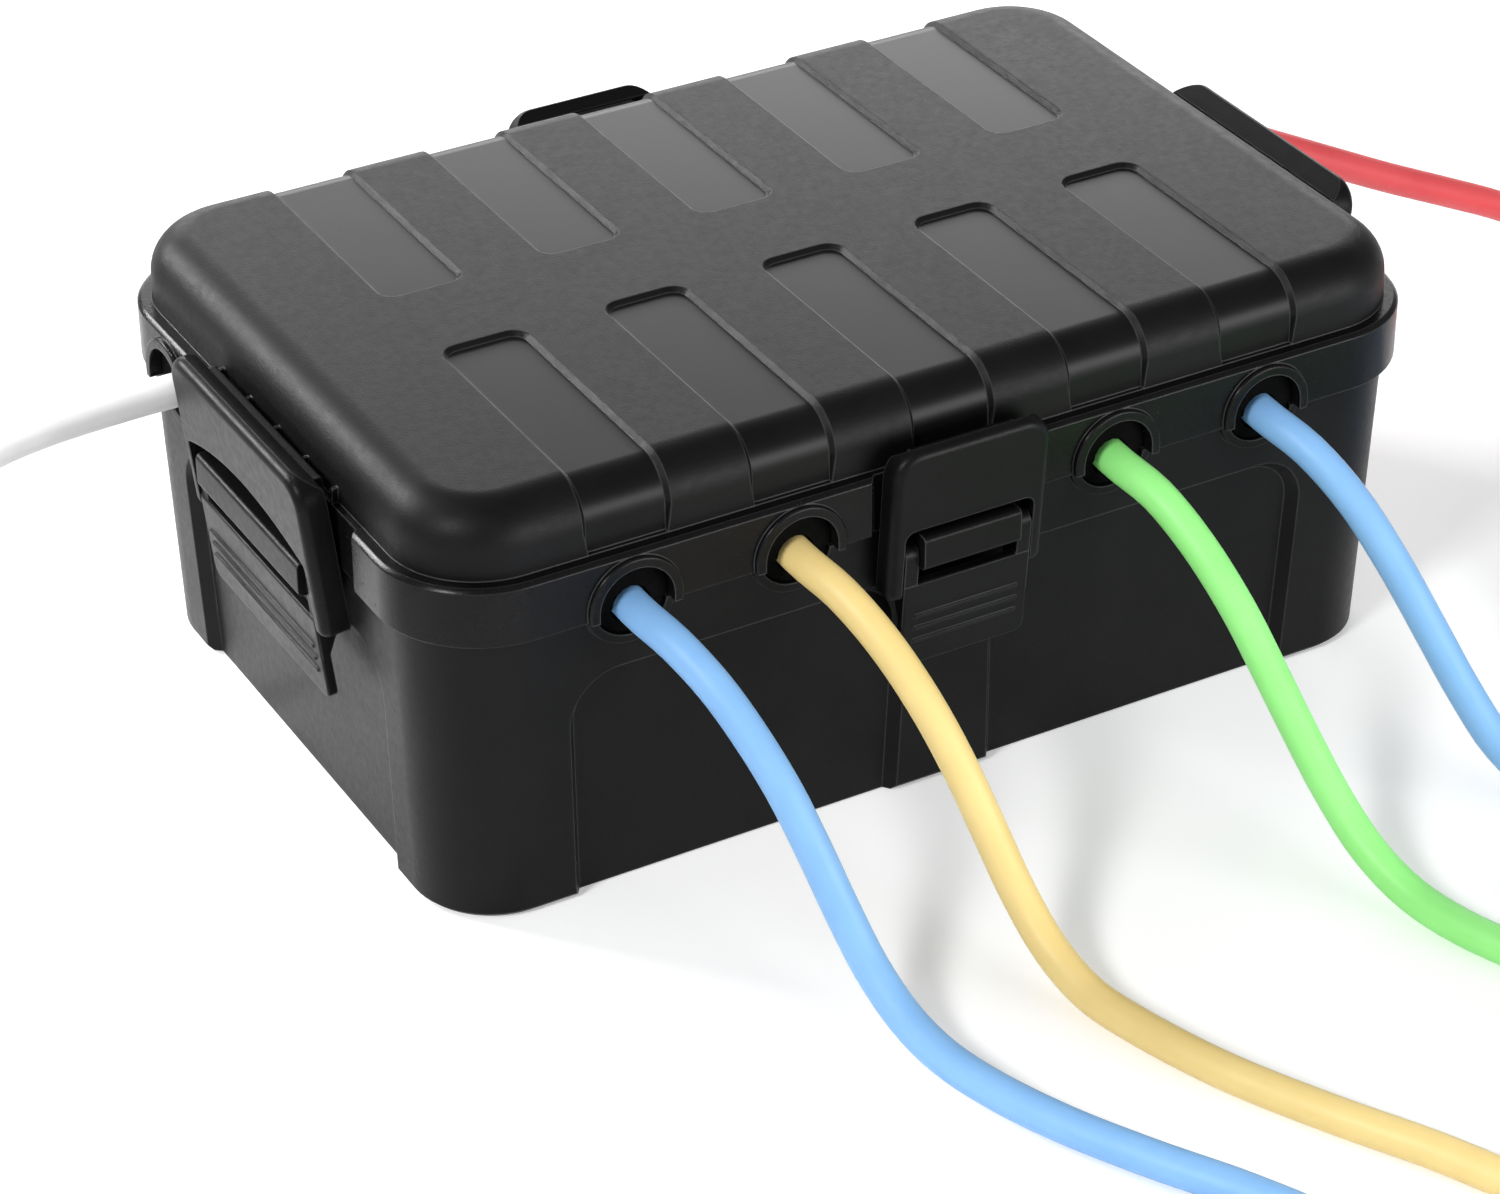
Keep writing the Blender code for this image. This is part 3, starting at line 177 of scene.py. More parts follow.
def shade(piece, degrees=SMOOTH_ANGLE):
    take(piece)
    bpy.ops.object.shade_smooth_by_angle(angle=math.radians(degrees))


def boolean(piece, tool, operation):
    change = piece.modifiers.new("cut", "BOOLEAN")
    change.operation = operation
    change.solver = "EXACT"
    change.object = tool
    take(piece)
    bpy.ops.object.modifier_apply(modifier=change.name)
    bpy.data.objects.remove(tool, do_unlink=True)


def join_pieces(pieces, name):
    clear_selection()
    for piece in pieces:
        piece.select_set(True)
    bpy.context.view_layer.objects.active = pieces[0]
    if len(pieces) > 1:
        bpy.ops.object.join()
    pieces[0].name = name
    return pieces[0]


def settle(piece):
    """Puts a finished piece's place into its mesh."""
    take(piece)
    bpy.ops.object.transform_apply(location=True, rotation=True, scale=True)


def dress(piece, material, slot, body, *replaced):
    piece.data.materials.clear()
    piece.data.materials.append(material)
    if replaced:
        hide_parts(*replaced)
    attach(piece, body)


def even_shading(piece, degrees=SMOOTH_ANGLE):
    """Smooth curves beside flats that stay flat."""
    shade(piece, degrees)
    even = piece.modifiers.new("even", "WEIGHTED_NORMAL")
    even.keep_sharp = True
    even.weight = 100
    bpy.ops.object.modifier_apply(modifier=even.name)


def merged_copy(node, name, degrees=SMOOTH_ANGLE):
    """A node's own solid with its corners joined and its curves shaded smooth."""
    clear_selection()
    piece = nodes[node].copy()
    piece.data = nodes[node].data.copy()
    piece.name = name
    piece.parent = None
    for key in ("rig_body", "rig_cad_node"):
        if key in piece:
            del piece[key]
    bpy.context.scene.collection.objects.link(piece)
    take(piece)
    bpy.ops.object.mode_set(mode="EDIT")
    bpy.ops.mesh.select_all(action="SELECT")
    bpy.ops.mesh.remove_doubles(threshold=NEAR)
    bpy.ops.mesh.dissolve_limited(angle_limit=math.radians(0.5))
    close_piece()
    even_shading(piece, degrees)
    return piece


# Case sizes. The ribs, the recesses' edges and the narrower notches of the long sides
# are finer than in the part's own solids.
LID_LENGTH = 0.304
LID_WIDTH = 0.200
LID_CORNER = 0.029
SKIRT_BOTTOM = 0.087
SKIRT_WALL = 0.0028
SKIRT_EDGE = 0.0012
LEDGE_HEIGHT = 0.104
LEDGE_WALL = 0.0022
LID_TOP = 0.123
LID_WALL = 0.0026
DOME_INSET = 0.004
DOME_DRAFT = 0.0006
DOME_ROUND = 0.0115
DOME_FLAT_HALF = LID_WIDTH / 2 - DOME_INSET - DOME_DRAFT - DOME_ROUND
RECESS_PITCH = 0.0472
RECESS_WIDTH = 0.0224
RECESS_INNER_END = 0.0165
RECESS_DEPTH = 0.0013
RECESS_FOOT = 0.0002
RECESS_CORNER = 0.004
RECESS_EDGE = 0.0012
SURFACE_SLACK = 0.0004
LAST_COLUMN = 2
BASE_INSET = 0.0032
BASE_DRAFT = 0.003
BASE_WALL = 0.0025
BASE_FLOOR = 0.0028
FOOT_EDGE = 0.0015
RIM_TOP = 0.100
WALL_FACE = 0.0052
PANEL_DEPTH = 0.0034
PANEL_TOP = 0.064
PANEL_CORNER = 0.010
PANEL_START = 0.003
PANEL_FOOT = -0.030
# How much a panel's block narrows, over what depth
PANEL_TAPER = (0.0104, 0.0139)
LONG_PANEL = (0.0175, 0.107)
SIDE_PANEL_HALF = 0.0575
PORT_HEIGHT = 0.0895
PORT_RADIUS = 0.0105
TUNNEL_OUT = 0.005
TUNNEL_RISE = 0.030
TUNNEL_DROP = 0.010
LID_TUNNEL = -0.012
BASE_TUNNEL = -0.020
HOOD_RADIUS = 0.0133
HOOD_PROUD = 0.0016
HOOD_ROOT = -0.0012
HOOD_EDGE = 0.0007
SADDLE_RADIUS = 0.0130
SADDLE_PROUD = -0.0019
SADDLE_ROOT = -0.0090
SADDLE_EDGE = 0.0005
SKIRT_GAP = 0.0004
NOTCH_DEPTH = 0.0020
NOTCH_OUT = 0.003
NOTCH_SLOPE = 0.004
LONG_NOTCH = (-0.0290, 0.0282)
NOTCHES = {"front": LONG_NOTCH, "right": (-0.0600, 0.0432), "back": LONG_NOTCH,
           "left": (-0.0432, 0.0600)}
FRONT_PORTS = (-0.095, -0.0477, 0.0477, 0.095)
SIDE_PORT = 0.057
PORTS = [("front", u) for u in FRONT_PORTS] + [("right", SIDE_PORT), ("left", -SIDE_PORT)]
RIB_PLACES = (-0.0415, -0.0242, -0.0069, 0.0104, 0.0277)
RIB_HALF = 0.0006
RIB_FRONT = 0.0022
RIB_BACK = 0.0048
RIB_SINK = 0.0005
RIB_RISE = 0.0042
RIB_EDGE = 0.0009
SIDE_TURNS = {"front": 0.0, "right": 90.0, "back": 180.0, "left": 270.0}

# Materials
NOISE_RANGE = (0.3, 0.7)
MOTTLE_SCALE = 55.0
GLOSS_SCALE = 420.0
METAL_MOTTLE_SCALE = 300.0
METAL_GLOSS_SCALE = 900.0
METAL_GRAIN_SCALE = 2500.0
METAL_GRAIN_HEIGHT = 0.00002
# How near a surface's normal is to its rounded normal, from no painted edge highlight to a full one
EDGE_HIGHLIGHT_RANGE = (0.985, 0.86)
BEVEL_SAMPLES = 6


def new_material(name):
    material = bpy.data.materials.new(name)
    material.use_nodes = True
    tree = material.node_tree
    shader = tree.nodes["Principled BSDF"]
    return material, tree, shader


def object_noise(tree, scale, detail=3.0, roughness=0.55):
    place = tree.nodes.new("ShaderNodeTexCoord")
    noise = tree.nodes.new("ShaderNodeTexNoise")
    noise.inputs["Scale"].default_value = scale
    noise.inputs["Detail"].default_value = detail
    noise.inputs["Roughness"].default_value = roughness
    tree.links.new(place.outputs["Object"], noise.inputs["Vector"])
    return noise.outputs["Fac"]


def calculate(tree, operation, first, second):
    """A step of arithmetic on an output and a number or another output."""
    step = tree.nodes.new("ShaderNodeMath")
    step.operation = operation
    tree.links.new(first, step.inputs[0])
    if isinstance(second, float):
        step.inputs[1].default_value = second
    else:
        tree.links.new(second, step.inputs[1])
    return step.outputs[0]


def map_range(tree, value, low, high, to_low, to_high):
    ramp = tree.nodes.new("ShaderNodeMapRange")
    limits = {"From Min": low, "From Max": high, "To Min": to_low, "To Max": to_high}
    for name, limit in limits.items():
        ramp.inputs[name].default_value = limit
    tree.links.new(value, ramp.inputs["Value"])
    return ramp.outputs["Result"]


def object_place(tree):
    """The outputs X, Y and Z of a surface point's place on its piece."""
    place = tree.nodes.new("ShaderNodeTexCoord")
    parts = tree.nodes.new("ShaderNodeSeparateXYZ")
    tree.links.new(place.outputs["Object"], parts.inputs["Vector"])
    return parts.outputs


def shade_colour(tree, shader, value, dark, light):
    ramp = tree.nodes.new("ShaderNodeValToRGB")
    for element, limit, colour in zip(ramp.color_ramp.elements, NOISE_RANGE, (dark, light)):
        element.position = limit
        element.color = (*colour, 1.0)
    tree.links.new(value, ramp.inputs["Fac"])
    tree.links.new(ramp.outputs["Color"], shader.inputs["Base Color"])


def grain(tree, shader, scale, height, rounding=0.0):
    """Fine moulded grain, over edges that are rounded a little."""
    bump = tree.nodes.new("ShaderNodeBump")
    bump.inputs["Distance"].default_value = height
    bump.inputs["Strength"].default_value = 1.0
    tree.links.new(object_noise(tree, scale, 2.0), bump.inputs["Height"])
    if rounding:
        soft = tree.nodes.new("ShaderNodeBevel")
        soft.samples = BEVEL_SAMPLES
        soft.inputs["Radius"].default_value = rounding
        tree.links.new(soft.outputs["Normal"], bump.inputs["Normal"])
    tree.links.new(bump.outputs["Normal"], shader.inputs["Normal"])


def moulded_plastic(name, dark, light, rough, grain_size, grain_height, rounding, specular=0.5):
    material, tree, shader = new_material(name)
    shade_colour(tree, shader, object_noise(tree, MOTTLE_SCALE), dark, light)
    gloss = map_range(tree, object_noise(tree, GLOSS_SCALE), *NOISE_RANGE, *rough)
    tree.links.new(gloss, shader.inputs["Roughness"])
    shader.inputs["Specular IOR Level"].default_value = specular
    grain(tree, shader, 1.0 / grain_size, grain_height, rounding)
    return material


def polish_below(material, low_z, high_z, change):
    """Changes a finish's roughness below one height, with nothing changed above another."""
    tree = material.node_tree
    roughness = tree.nodes["Principled BSDF"].inputs["Roughness"]
    before = roughness.links[0].from_socket
    fade = map_range(tree, object_place(tree)["Z"], low_z, high_z, change, 0.0)
    tree.links.new(calculate(tree, "ADD", before, fade), roughness)


def polish_recesses(material, low_z, roughness, grain_left):
    """Gives the lid's finger recesses, above a height, a smoother finish than the plastic beside them."""
    tree = material.node_tree
    target = tree.nodes["Principled BSDF"].inputs["Roughness"]
    before = target.links[0].from_socket
    place = object_place(tree)
    along = calculate(tree, "ABSOLUTE", place["X"], 0.0)
    across = calculate(tree, "ABSOLUTE", place["Y"], 0.0)
    from_column = calculate(tree, "PINGPONG", along, RECESS_PITCH / 2)
    inside = calculate(tree, "LESS_THAN", from_column, RECESS_WIDTH / 2)
    tests = [("LESS_THAN", along, (LAST_COLUMN + 0.5) * RECESS_PITCH),
             ("GREATER_THAN", across, RECESS_INNER_END),
             ("GREATER_THAN", place["Z"], low_z)]
    for test in tests:
        inside = calculate(tree, "MULTIPLY", inside, calculate(tree, *test))
    blend = tree.nodes.new("ShaderNodeMix")
    blend.inputs["B"].default_value = roughness
    tree.links.new(inside, blend.inputs["Factor"])
    tree.links.new(before, blend.inputs["A"])
    tree.links.new(blend.outputs["Result"], target)
    strength = map_range(tree, inside, 0.0, 1.0, 1.0, grain_left)
    tree.links.new(strength, tree.nodes["Bump"].inputs["Strength"])


def paint_edge_highlights(material, radius, colour):
    """Paints highlights into a finish's colour along its sharp edges, convex and concave alike."""
    tree = material.node_tree
    target = tree.nodes["Principled BSDF"].inputs["Base Color"]
    before = target.links[0].from_socket
    rounded = tree.nodes.new("ShaderNodeBevel")
    rounded.samples = BEVEL_SAMPLES
    rounded.inputs["Radius"].default_value = radius
    surface = tree.nodes.new("ShaderNodeNewGeometry")
    match = tree.nodes.new("ShaderNodeVectorMath")
    match.operation = "DOT_PRODUCT"
    tree.links.new(rounded.outputs["Normal"], match.inputs[0])
    tree.links.new(surface.outputs["Normal"], match.inputs[1])
    # Painted highlight, strongest where the rounded normal turns furthest from the surface's own
    highlight_share = map_range(tree, match.outputs["Value"], *EDGE_HIGHLIGHT_RANGE, 0.0, 1.0)
    blend = tree.nodes.new("ShaderNodeMix")
    blend.data_type = "RGBA"
    blend.inputs["B"].default_value = (*colour, 1.0)
    tree.links.new(highlight_share, blend.inputs["Factor"])
    tree.links.new(before, blend.inputs["A"])
    tree.links.new(blend.outputs["Result"], target)


def metal(name, dark, light, rough):
    material, tree, shader = new_material(name)
    shade_colour(tree, shader, object_noise(tree, METAL_MOTTLE_SCALE), dark, light)
    gloss = map_range(tree, object_noise(tree, METAL_GLOSS_SCALE), *NOISE_RANGE, *rough)
    tree.links.new(gloss, shader.inputs["Roughness"])
    shader.inputs["Metallic"].default_value = 1.0
    grain(tree, shader, METAL_GRAIN_SCALE, METAL_GRAIN_HEIGHT)
    return material


POLISH_END = LEDGE_HEIGHT + 0.0003
SKIRT_POLISH = -0.24
RECESS_ROUGHNESS = 0.36
RECESS_GRAIN = 0.12
# Width and colour of the painted highlights along the case's edges
EDGE_HIGHLIGHT_WIDTH = 0.0007
EDGE_HIGHLIGHT_COLOUR = (0.060, 0.060, 0.062)

# Darkest and lightest colour, range of roughness, grain's size and height, edge rounding, strength of gloss
case_black = moulded_plastic("case_black", (0.0035, 0.0035, 0.0037), (0.0050, 0.0050, 0.0053),
                             (0.34, 0.42), 0.0006, 0.00006, 0.0005, 0.11)
lid_black = moulded_plastic("lid_black", (0.0035, 0.0035, 0.0037), (0.0050, 0.0050, 0.0053),
                            (0.44, 0.52), 0.0006, 0.00006, 0.0005, 0.14)
polish_below(lid_black, LEDGE_HEIGHT, POLISH_END, SKIRT_POLISH)
polish_recesses(lid_black, POLISH_END, RECESS_ROUGHNESS, RECESS_GRAIN)
# Painted highlights along the sharp edges of the base, latches and lid
paint_edge_highlights(case_black, EDGE_HIGHLIGHT_WIDTH, EDGE_HIGHLIGHT_COLOUR)
paint_edge_highlights(lid_black, EDGE_HIGHLIGHT_WIDTH, EDGE_HIGHLIGHT_COLOUR)
seal_black = moulded_plastic("seal_black", (0.0015, 0.0015, 0.0015), (0.0025, 0.0025, 0.0025),
                             (0.75, 0.9), 0.0004, 0.00004, 0.0003, 0.05)
strip_grey = moulded_plastic("strip_grey", (0.40, 0.41, 0.42), (0.46, 0.47, 0.48),
                             (0.45, 0.55), 0.0005, 0.00004, 0.0005)
switch_red = moulded_plastic("switch_red", (0.52, 0.02, 0.02), (0.60, 0.03, 0.03),
                             (0.22, 0.30), 0.0006, 0.00002, 0.0004)
button_black = moulded_plastic("button_black", (0.010, 0.010, 0.010), (0.014, 0.014, 0.014),
                               (0.25, 0.35), 0.0006, 0.00002, 0.0004)
lens_amber = moulded_plastic("lens_amber", (0.75, 0.30, 0.03), (0.82, 0.38, 0.06),
                             (0.08, 0.14), 0.0008, 0.00001, 0.0004)
board_green = moulded_plastic("board_green", (0.02, 0.17, 0.06), (0.03, 0.23, 0.09),
                              (0.30, 0.45), 0.0010, 0.00003, 0.0)
pin_steel = metal("pin_steel", (0.50, 0.50, 0.51), (0.58, 0.58, 0.59), (0.25, 0.4))
contact_brass = metal("contact_brass", (0.62, 0.43, 0.16), (0.74, 0.54, 0.22), (0.25, 0.4))
JACKETS = {
    "blue": ((0.212, 0.440, 0.775), (0.238, 0.475, 0.815)),
    "yellow": ((0.810, 0.610, 0.235), (0.860, 0.655, 0.265)),
    "green": ((0.290, 0.850, 0.225), (0.330, 0.900, 0.260)),
    "red": ((0.620, 0.062, 0.070), (0.680, 0.080, 0.088)),
    "white": ((0.78, 0.78, 0.78), (0.84, 0.84, 0.84)),
}
jackets = {}
for tone, (dark, light) in JACKETS.items():
    jackets[tone] = moulded_plastic("jacket_" + tone, dark, light, (0.42, 0.52),
                                    0.0012, 0.00002, 0.0, 0.4)

# Cords: each runs from its plug or gland out of its port, over the floor and into its coil
CORD_RADIUS = 0.00475
CORD_FLOOR = CORD_RADIUS + 0.0002
CORD_HEIGHT = 0.0875
FIT = 0.0003
PLUG_CORD_Y = 0.0167
PLUG_CORD_Z = 0.0560
RED_CORD_X = 0.0743
OUTLET_Y = 0.044
GLAND_X = -0.1065
GLAND_TOP = 0.0462
COIL_RADIUS = 0.054
COIL_PITCH = 0.0107
COIL_RISE = 0.0104
COIL_STEPS = 48
COIL_TAIL = 0.026
COIL_LEAD = 0.010
CORD_STEP = 0.004
TIE_RADIUS = 0.0118
TIE_WIDTH = 0.007
TIE_WALL = 0.0011
TIE_REACH = 0.0482
TIE_HEIGHT = 0.01015
TIE_STRETCH = (1.06, 0.855, 1.0, 1.0)

ROUTES = {
    "blue_left": [
        (-0.079, PLUG_CORD_Y, PLUG_CORD_Z), (-0.079, 0.0070, 0.0563), (-0.081, -0.012, 0.0590),
        (-0.086, -0.034, 0.0680), (-0.091, -0.055, 0.0785), (-0.0945, -0.073, 0.0856),
        (-0.095, -0.087, CORD_HEIGHT), (-0.095, -0.104, CORD_HEIGHT), (-0.0925, -0.116, 0.0852),
        (-0.0883, -0.128, 0.0783), (-0.0844, -0.138, 0.0690), (-0.0805, -0.1485, 0.0570),
        (-0.0773, -0.158, 0.0435), (-0.0745, -0.167, 0.0300), (-0.0718, -0.177, 0.0176),
        (-0.0690, -0.189, 0.0088), (-0.0664, -0.203, 0.0054), (-0.0620, -0.220, CORD_FLOOR),
        (-0.0545, -0.239, CORD_FLOOR), (-0.0440, -0.259, CORD_FLOOR), (-0.0310, -0.281, CORD_FLOOR),
        (-0.0195, -0.305, CORD_FLOOR), (-0.0112, -0.333, CORD_FLOOR)],
    "yellow": [
        (-0.048, PLUG_CORD_Y, PLUG_CORD_Z), (-0.048, 0.0070, 0.0563), (-0.048, -0.012, 0.0590),
        (-0.048, -0.034, 0.0680), (-0.0479, -0.055, 0.0785), (-0.0477, -0.073, 0.0856),
        (-0.0477, -0.087, CORD_HEIGHT), (-0.0477, -0.104, CORD_HEIGHT), (-0.0448, -0.115, 0.0846),
        (-0.0403, -0.128, 0.0763), (-0.0358, -0.141, 0.0640), (-0.0322, -0.152, 0.0505),
        (-0.0292, -0.162, 0.0360), (-0.0265, -0.173, 0.0212), (-0.0243, -0.185, 0.0108),
        (-0.0222, -0.199, 0.0058), (-0.0180, -0.217, CORD_FLOOR), (-0.0098, -0.241, CORD_FLOOR),
        (0.0030, -0.267, CORD_FLOOR), (0.0175, -0.293, CORD_FLOOR), (0.0310, -0.324, CORD_FLOOR),
        (0.0405, -0.352, CORD_FLOOR)],
    "green": [
        (-0.017, PLUG_CORD_Y, PLUG_CORD_Z), (-0.017, 0.0085, 0.0561), (-0.013, -0.011, 0.0580),
        (-0.0015, -0.0275, 0.0634), (0.0153, -0.0375, 0.0715), (0.0320, -0.0475, 0.0796),
        (0.0436, -0.064, 0.0853), (0.0477, -0.086, CORD_HEIGHT), (0.0477, -0.104, CORD_HEIGHT),
        (0.0502, -0.116, 0.0848), (0.0537, -0.130, 0.0762), (0.0573, -0.144, 0.0634),
        (0.0601, -0.156, 0.0496), (0.0627, -0.1675, 0.0360), (0.0654, -0.179, 0.0232),
        (0.0682, -0.192, 0.0126), (0.0716, -0.207, 0.0064), (0.0765, -0.226, CORD_FLOOR),
        (0.0860, -0.248, CORD_FLOOR), (0.1035, -0.274, CORD_FLOOR), (0.1270, -0.299, CORD_FLOOR)],
    "blue_right": [
        (0.014, PLUG_CORD_Y, PLUG_CORD_Z), (0.014, 0.0085, 0.0561), (0.0192, -0.0124, 0.0580),
        (0.0341, -0.0300, 0.0637), (0.0544, -0.0375, 0.0717), (0.0749, -0.0450, 0.0797),
        (0.0898, -0.0626, 0.0853), (0.095, -0.085, CORD_HEIGHT), (0.095, -0.104, CORD_HEIGHT),
        (0.0985, -0.116, 0.0838), (0.1042, -0.129, 0.0735), (0.1092, -0.1415, 0.0595),
        (0.1140, -0.153, 0.0438), (0.1186, -0.164, 0.0286), (0.1236, -0.175, 0.0156),
        (0.1300, -0.187, 0.0080), (0.1400, -0.1985, 0.0053), (0.1570, -0.2065, CORD_FLOOR),
        (0.1800, -0.2085, CORD_FLOOR), (0.2080, -0.2055, CORD_FLOOR), (0.2330, -0.2028, CORD_FLOOR)],
    "red": [
        (RED_CORD_X, OUTLET_Y, PLUG_CORD_Z), (0.0785, 0.0440, 0.0562), (0.0950, 0.0457, 0.0604),
        (0.1095, 0.0505, 0.0715), (0.1240, 0.0553, 0.0832), (0.1420, 0.057, CORD_HEIGHT),
        (0.1570, 0.057, CORD_HEIGHT), (0.1730, 0.0568, 0.0850), (0.1910, 0.0562, 0.0785),
        (0.2110, 0.0555, 0.0688), (0.2310, 0.0550, 0.0588), (0.2530, 0.0548, 0.0478),
        (0.2760, 0.0545, 0.0370), (0.2980, 0.0548, 0.0262), (0.3160, 0.0555, 0.0155),
        (0.3300, 0.0564, 0.0082)],
    "white": [(x, SIDE_PORT, z) for x, z in (
        (GLAND_X, GLAND_TOP + FIT), (-0.1066, 0.0510), (-0.1081, 0.0605), (-0.1120, 0.0693),
        (-0.1187, 0.0770), (-0.1277, 0.0829), (-0.1385, 0.0866), (-0.1470, CORD_HEIGHT),
        (-0.1570, CORD_HEIGHT), (-0.1730, 0.0871), (-0.1900, 0.0860), (-0.2040, 0.0836),
        (-0.2190, 0.0780), (-0.2325, 0.0690), (-0.2445, 0.0570), (-0.2550, 0.0430), (-0.2655, 0.0292),
        (-0.2775, 0.0165), (-0.2910, 0.0082))],
}

# Coil start, heading in degrees, side it turns to (1 left, -1 right) and how far it turns
COILS = {
    "blue_left": ((-0.008, -0.368), -90.0, -1, 810.0),
    "yellow": ((0.0514, -0.3809), -69.5, 1, 789.5),
    "green": ((0.1556, -0.3202), -36.87, 1, 756.87),
    "blue_right": ((0.258, -0.202), 0.0, 1, 720.0),
    "red": ((0.353, 0.057), 0.0, -1, 810.0),
    "white": ((-0.317, 0.057), 180.0, 1, 810.0),
}
TONES = {"blue_left": "blue", "yellow": "yellow", "green": "green", "blue_right": "blue", "red": "red",
         "white": "white"}


def smooth_route(points, step):
    """Points along a centripetal curve that passes through every given point."""
    knots = [Vector(point) for point in points]
    knots = [knots[0] * 2 - knots[1]] + knots + [knots[-1] * 2 - knots[-2]]
    route = [knots[1]]
    for a, b, c, d in zip(knots, knots[1:], knots[2:], knots[3:]):
        t0 = 0.0
        t1 = t0 + (b - a).length ** 0.5
        t2 = t1 + (c - b).length ** 0.5
        t3 = t2 + (d - c).length ** 0.5
        pieces = max(1, round((c - b).length / step))
        for i in range(1, pieces + 1):
            t = t1 + (t2 - t1) * i / pieces
            ab = a * ((t1 - t) / (t1 - t0)) + b * ((t - t0) / (t1 - t0))
            bc = b * ((t2 - t) / (t2 - t1)) + c * ((t - t1) / (t2 - t1))
            cd = c * ((t3 - t) / (t3 - t2)) + d * ((t - t2) / (t3 - t2))
            abc = ab * ((t2 - t) / (t2 - t0)) + bc * ((t - t0) / (t2 - t0))
            bcd = bc * ((t3 - t) / (t3 - t1)) + cd * ((t - t1) / (t3 - t1))
            route.append(abc * ((t2 - t) / (t2 - t1)) + bcd * ((t - t1) / (t2 - t1)))
    return route


def coil_points(start, heading, turn, sweep):
    """Two layers: in at a steady rate, up a layer in the half turn where it reverses, and out again."""
    direction = Vector((math.cos(heading), math.sin(heading), 0))
    side = Vector((-direction.y, direction.x, 0)) * turn
    centre = Vector((*start, 0)) + side * COIL_RADIUS
    first = math.atan2(-side.y, -side.x)
    steps = math.ceil(sweep / (2 * math.pi) * COIL_STEPS)
    points = []
    for i in range(steps + 1):
        angle = sweep * i / steps
        radius = COIL_RADIUS - COIL_PITCH * min(angle, sweep - angle) / (2 * math.pi)
        climb = min(max((angle - sweep / 2) / math.pi + 0.5, 0.0), 1.0)
        climb = climb * climb * (3 - 2 * climb)
        where = first + turn * angle
        points.append(centre + Vector((math.cos(where), math.sin(where), 0)) * radius
                      + UP * (CORD_FLOOR + COIL_RISE * climb))
    last = heading + turn * sweep
    leaving = Vector((math.cos(last), math.sin(last), 0))
    points.insert(0, points[0] - direction * (2 * CORD_RADIUS))
    points.append(points[-1] + leaving * COIL_TAIL)
    return points, direction, centre


def make_cord(name):
    coil_start, heading, turn, sweep = COILS[name]
    loops, arriving, centre = coil_points(coil_start, math.radians(heading), turn, math.radians(sweep))
    lead_in = [tuple(loops[0] - arriving * COIL_LEAD), tuple(loops[0])]
    line = smooth_route(ROUTES[name] + lead_in, CORD_STEP) + loops[1:]
    for point in line:
        point.z = max(point.z, CORD_FLOOR)
    curve = bpy.data.curves.new("cord_line_" + name, "CURVE")
    curve.dimensions = "3D"
    curve.fill_mode = "FULL"
    curve.bevel_depth = CORD_RADIUS
    curve.bevel_resolution = 6
    curve.use_fill_caps = True
    spline = curve.splines.new("POLY")
    spline.points.add(len(line) - 1)
    for spot, point in zip(spline.points, line):
        spot.co = (*point, 1.0)
    spline.use_smooth = True
    piece = bpy.data.objects.new("cord_line_" + name, curve)
    bpy.context.scene.collection.objects.link(piece)
    length = sum((b - a).length for a, b in zip(line, line[1:]))
    return piece, length, centre


def make_tie(name, centre, toward):
    """A strap round the coil's turns, flat where it lies on the floor."""
    clear_selection()
    bpy.ops.mesh.primitive_cylinder_add(vertices=32, radius=TIE_RADIUS, depth=TIE_WIDTH,
                                        end_fill_type="NGON")
    piece = open_piece("tie_" + name)
    pick_faces(lambda middle, normal: abs(normal.z) > 0.9)
    bpy.ops.mesh.inset(thickness=TIE_WALL)
    bpy.ops.mesh.bridge_edge_loops()
    close_piece()
    across = toward.normalized()
    along = UP.cross(across)
    turned = Matrix((across, UP, along)).transposed().to_4x4()
    middle = centre + across * TIE_REACH + UP * TIE_HEIGHT
    piece.matrix_world = Matrix.Translation(middle) @ turned @ Matrix.Diagonal(TIE_STRETCH)
    settle(piece)
    shade(piece)
    return piece


for name in PORT_NAMES:
    cord_piece, cord_length, coil_centre = make_cord(name)
    end_name = "mains_plug" if name == "white" else "socket_" + name
    end_piece = merged_copy(end_name, end_name + "_shown", 40)
    dress(end_piece, jackets[TONES[name]], TONES[name] + "_jacket", "base", end_name)
    tie_piece = make_tie(name, coil_centre, coil_centre - Vector((*COILS[name][0], 0.0)))
    dress(tie_piece, seal_black, "seal_rubber", "base")
    dress(cord_piece, jackets[TONES[name]], TONES[name] + "_jacket", "base", "cord_" + name, "coil_" + name)

# Helpers for the case's plan and walls. On a wall, u runs along it and v out of it.


def case_depth(point):
    """How far inside the skirt's outline a point is."""
    x = abs(point.x) - (LID_LENGTH / 2 - LID_CORNER)
    y = abs(point.y) - (LID_WIDTH / 2 - LID_CORNER)
    return LID_CORNER - math.hypot(max(x, 0.0), max(y, 0.0)) - min(max(x, y), 0.0)


def place_on(piece, side):
    """Carries a piece modelled on the front wall's plane, x along and y inwards, to its own wall."""
    half = LID_WIDTH / 2 if side in ("front", "back") else LID_LENGTH / 2
    turn = Matrix.Rotation(math.radians(SIDE_TURNS[side]), 4, "Z")
    piece.matrix_world = turn @ Matrix.Translation((0.0, -half, 0.0)) @ piece.matrix_world
    settle(piece)
    return piece


def add_block(name, low, high):
    """Opens a box between two corners for editing."""
    clear_selection()
    middle = [(a + b) / 2 for a, b in zip(low, high)]
    bpy.ops.mesh.primitive_cube_add(size=1.0, location=middle)
    bpy.context.object.scale = [b - a for a, b in zip(low, high)]
    settle(bpy.context.object)
    return open_piece(name)


def add_drum(name, u, radius, inner, outer, height):
    """Opens a cylinder that stands out of the front wall for editing."""
    clear_selection()
    bpy.ops.mesh.primitive_cylinder_add(vertices=56, radius=radius, depth=outer - inner,
                                        location=(u, -(inner + outer) / 2, height),
                                        rotation=(math.pi / 2, 0.0, 0.0))
    settle(bpy.context.object)
    return open_piece(name)


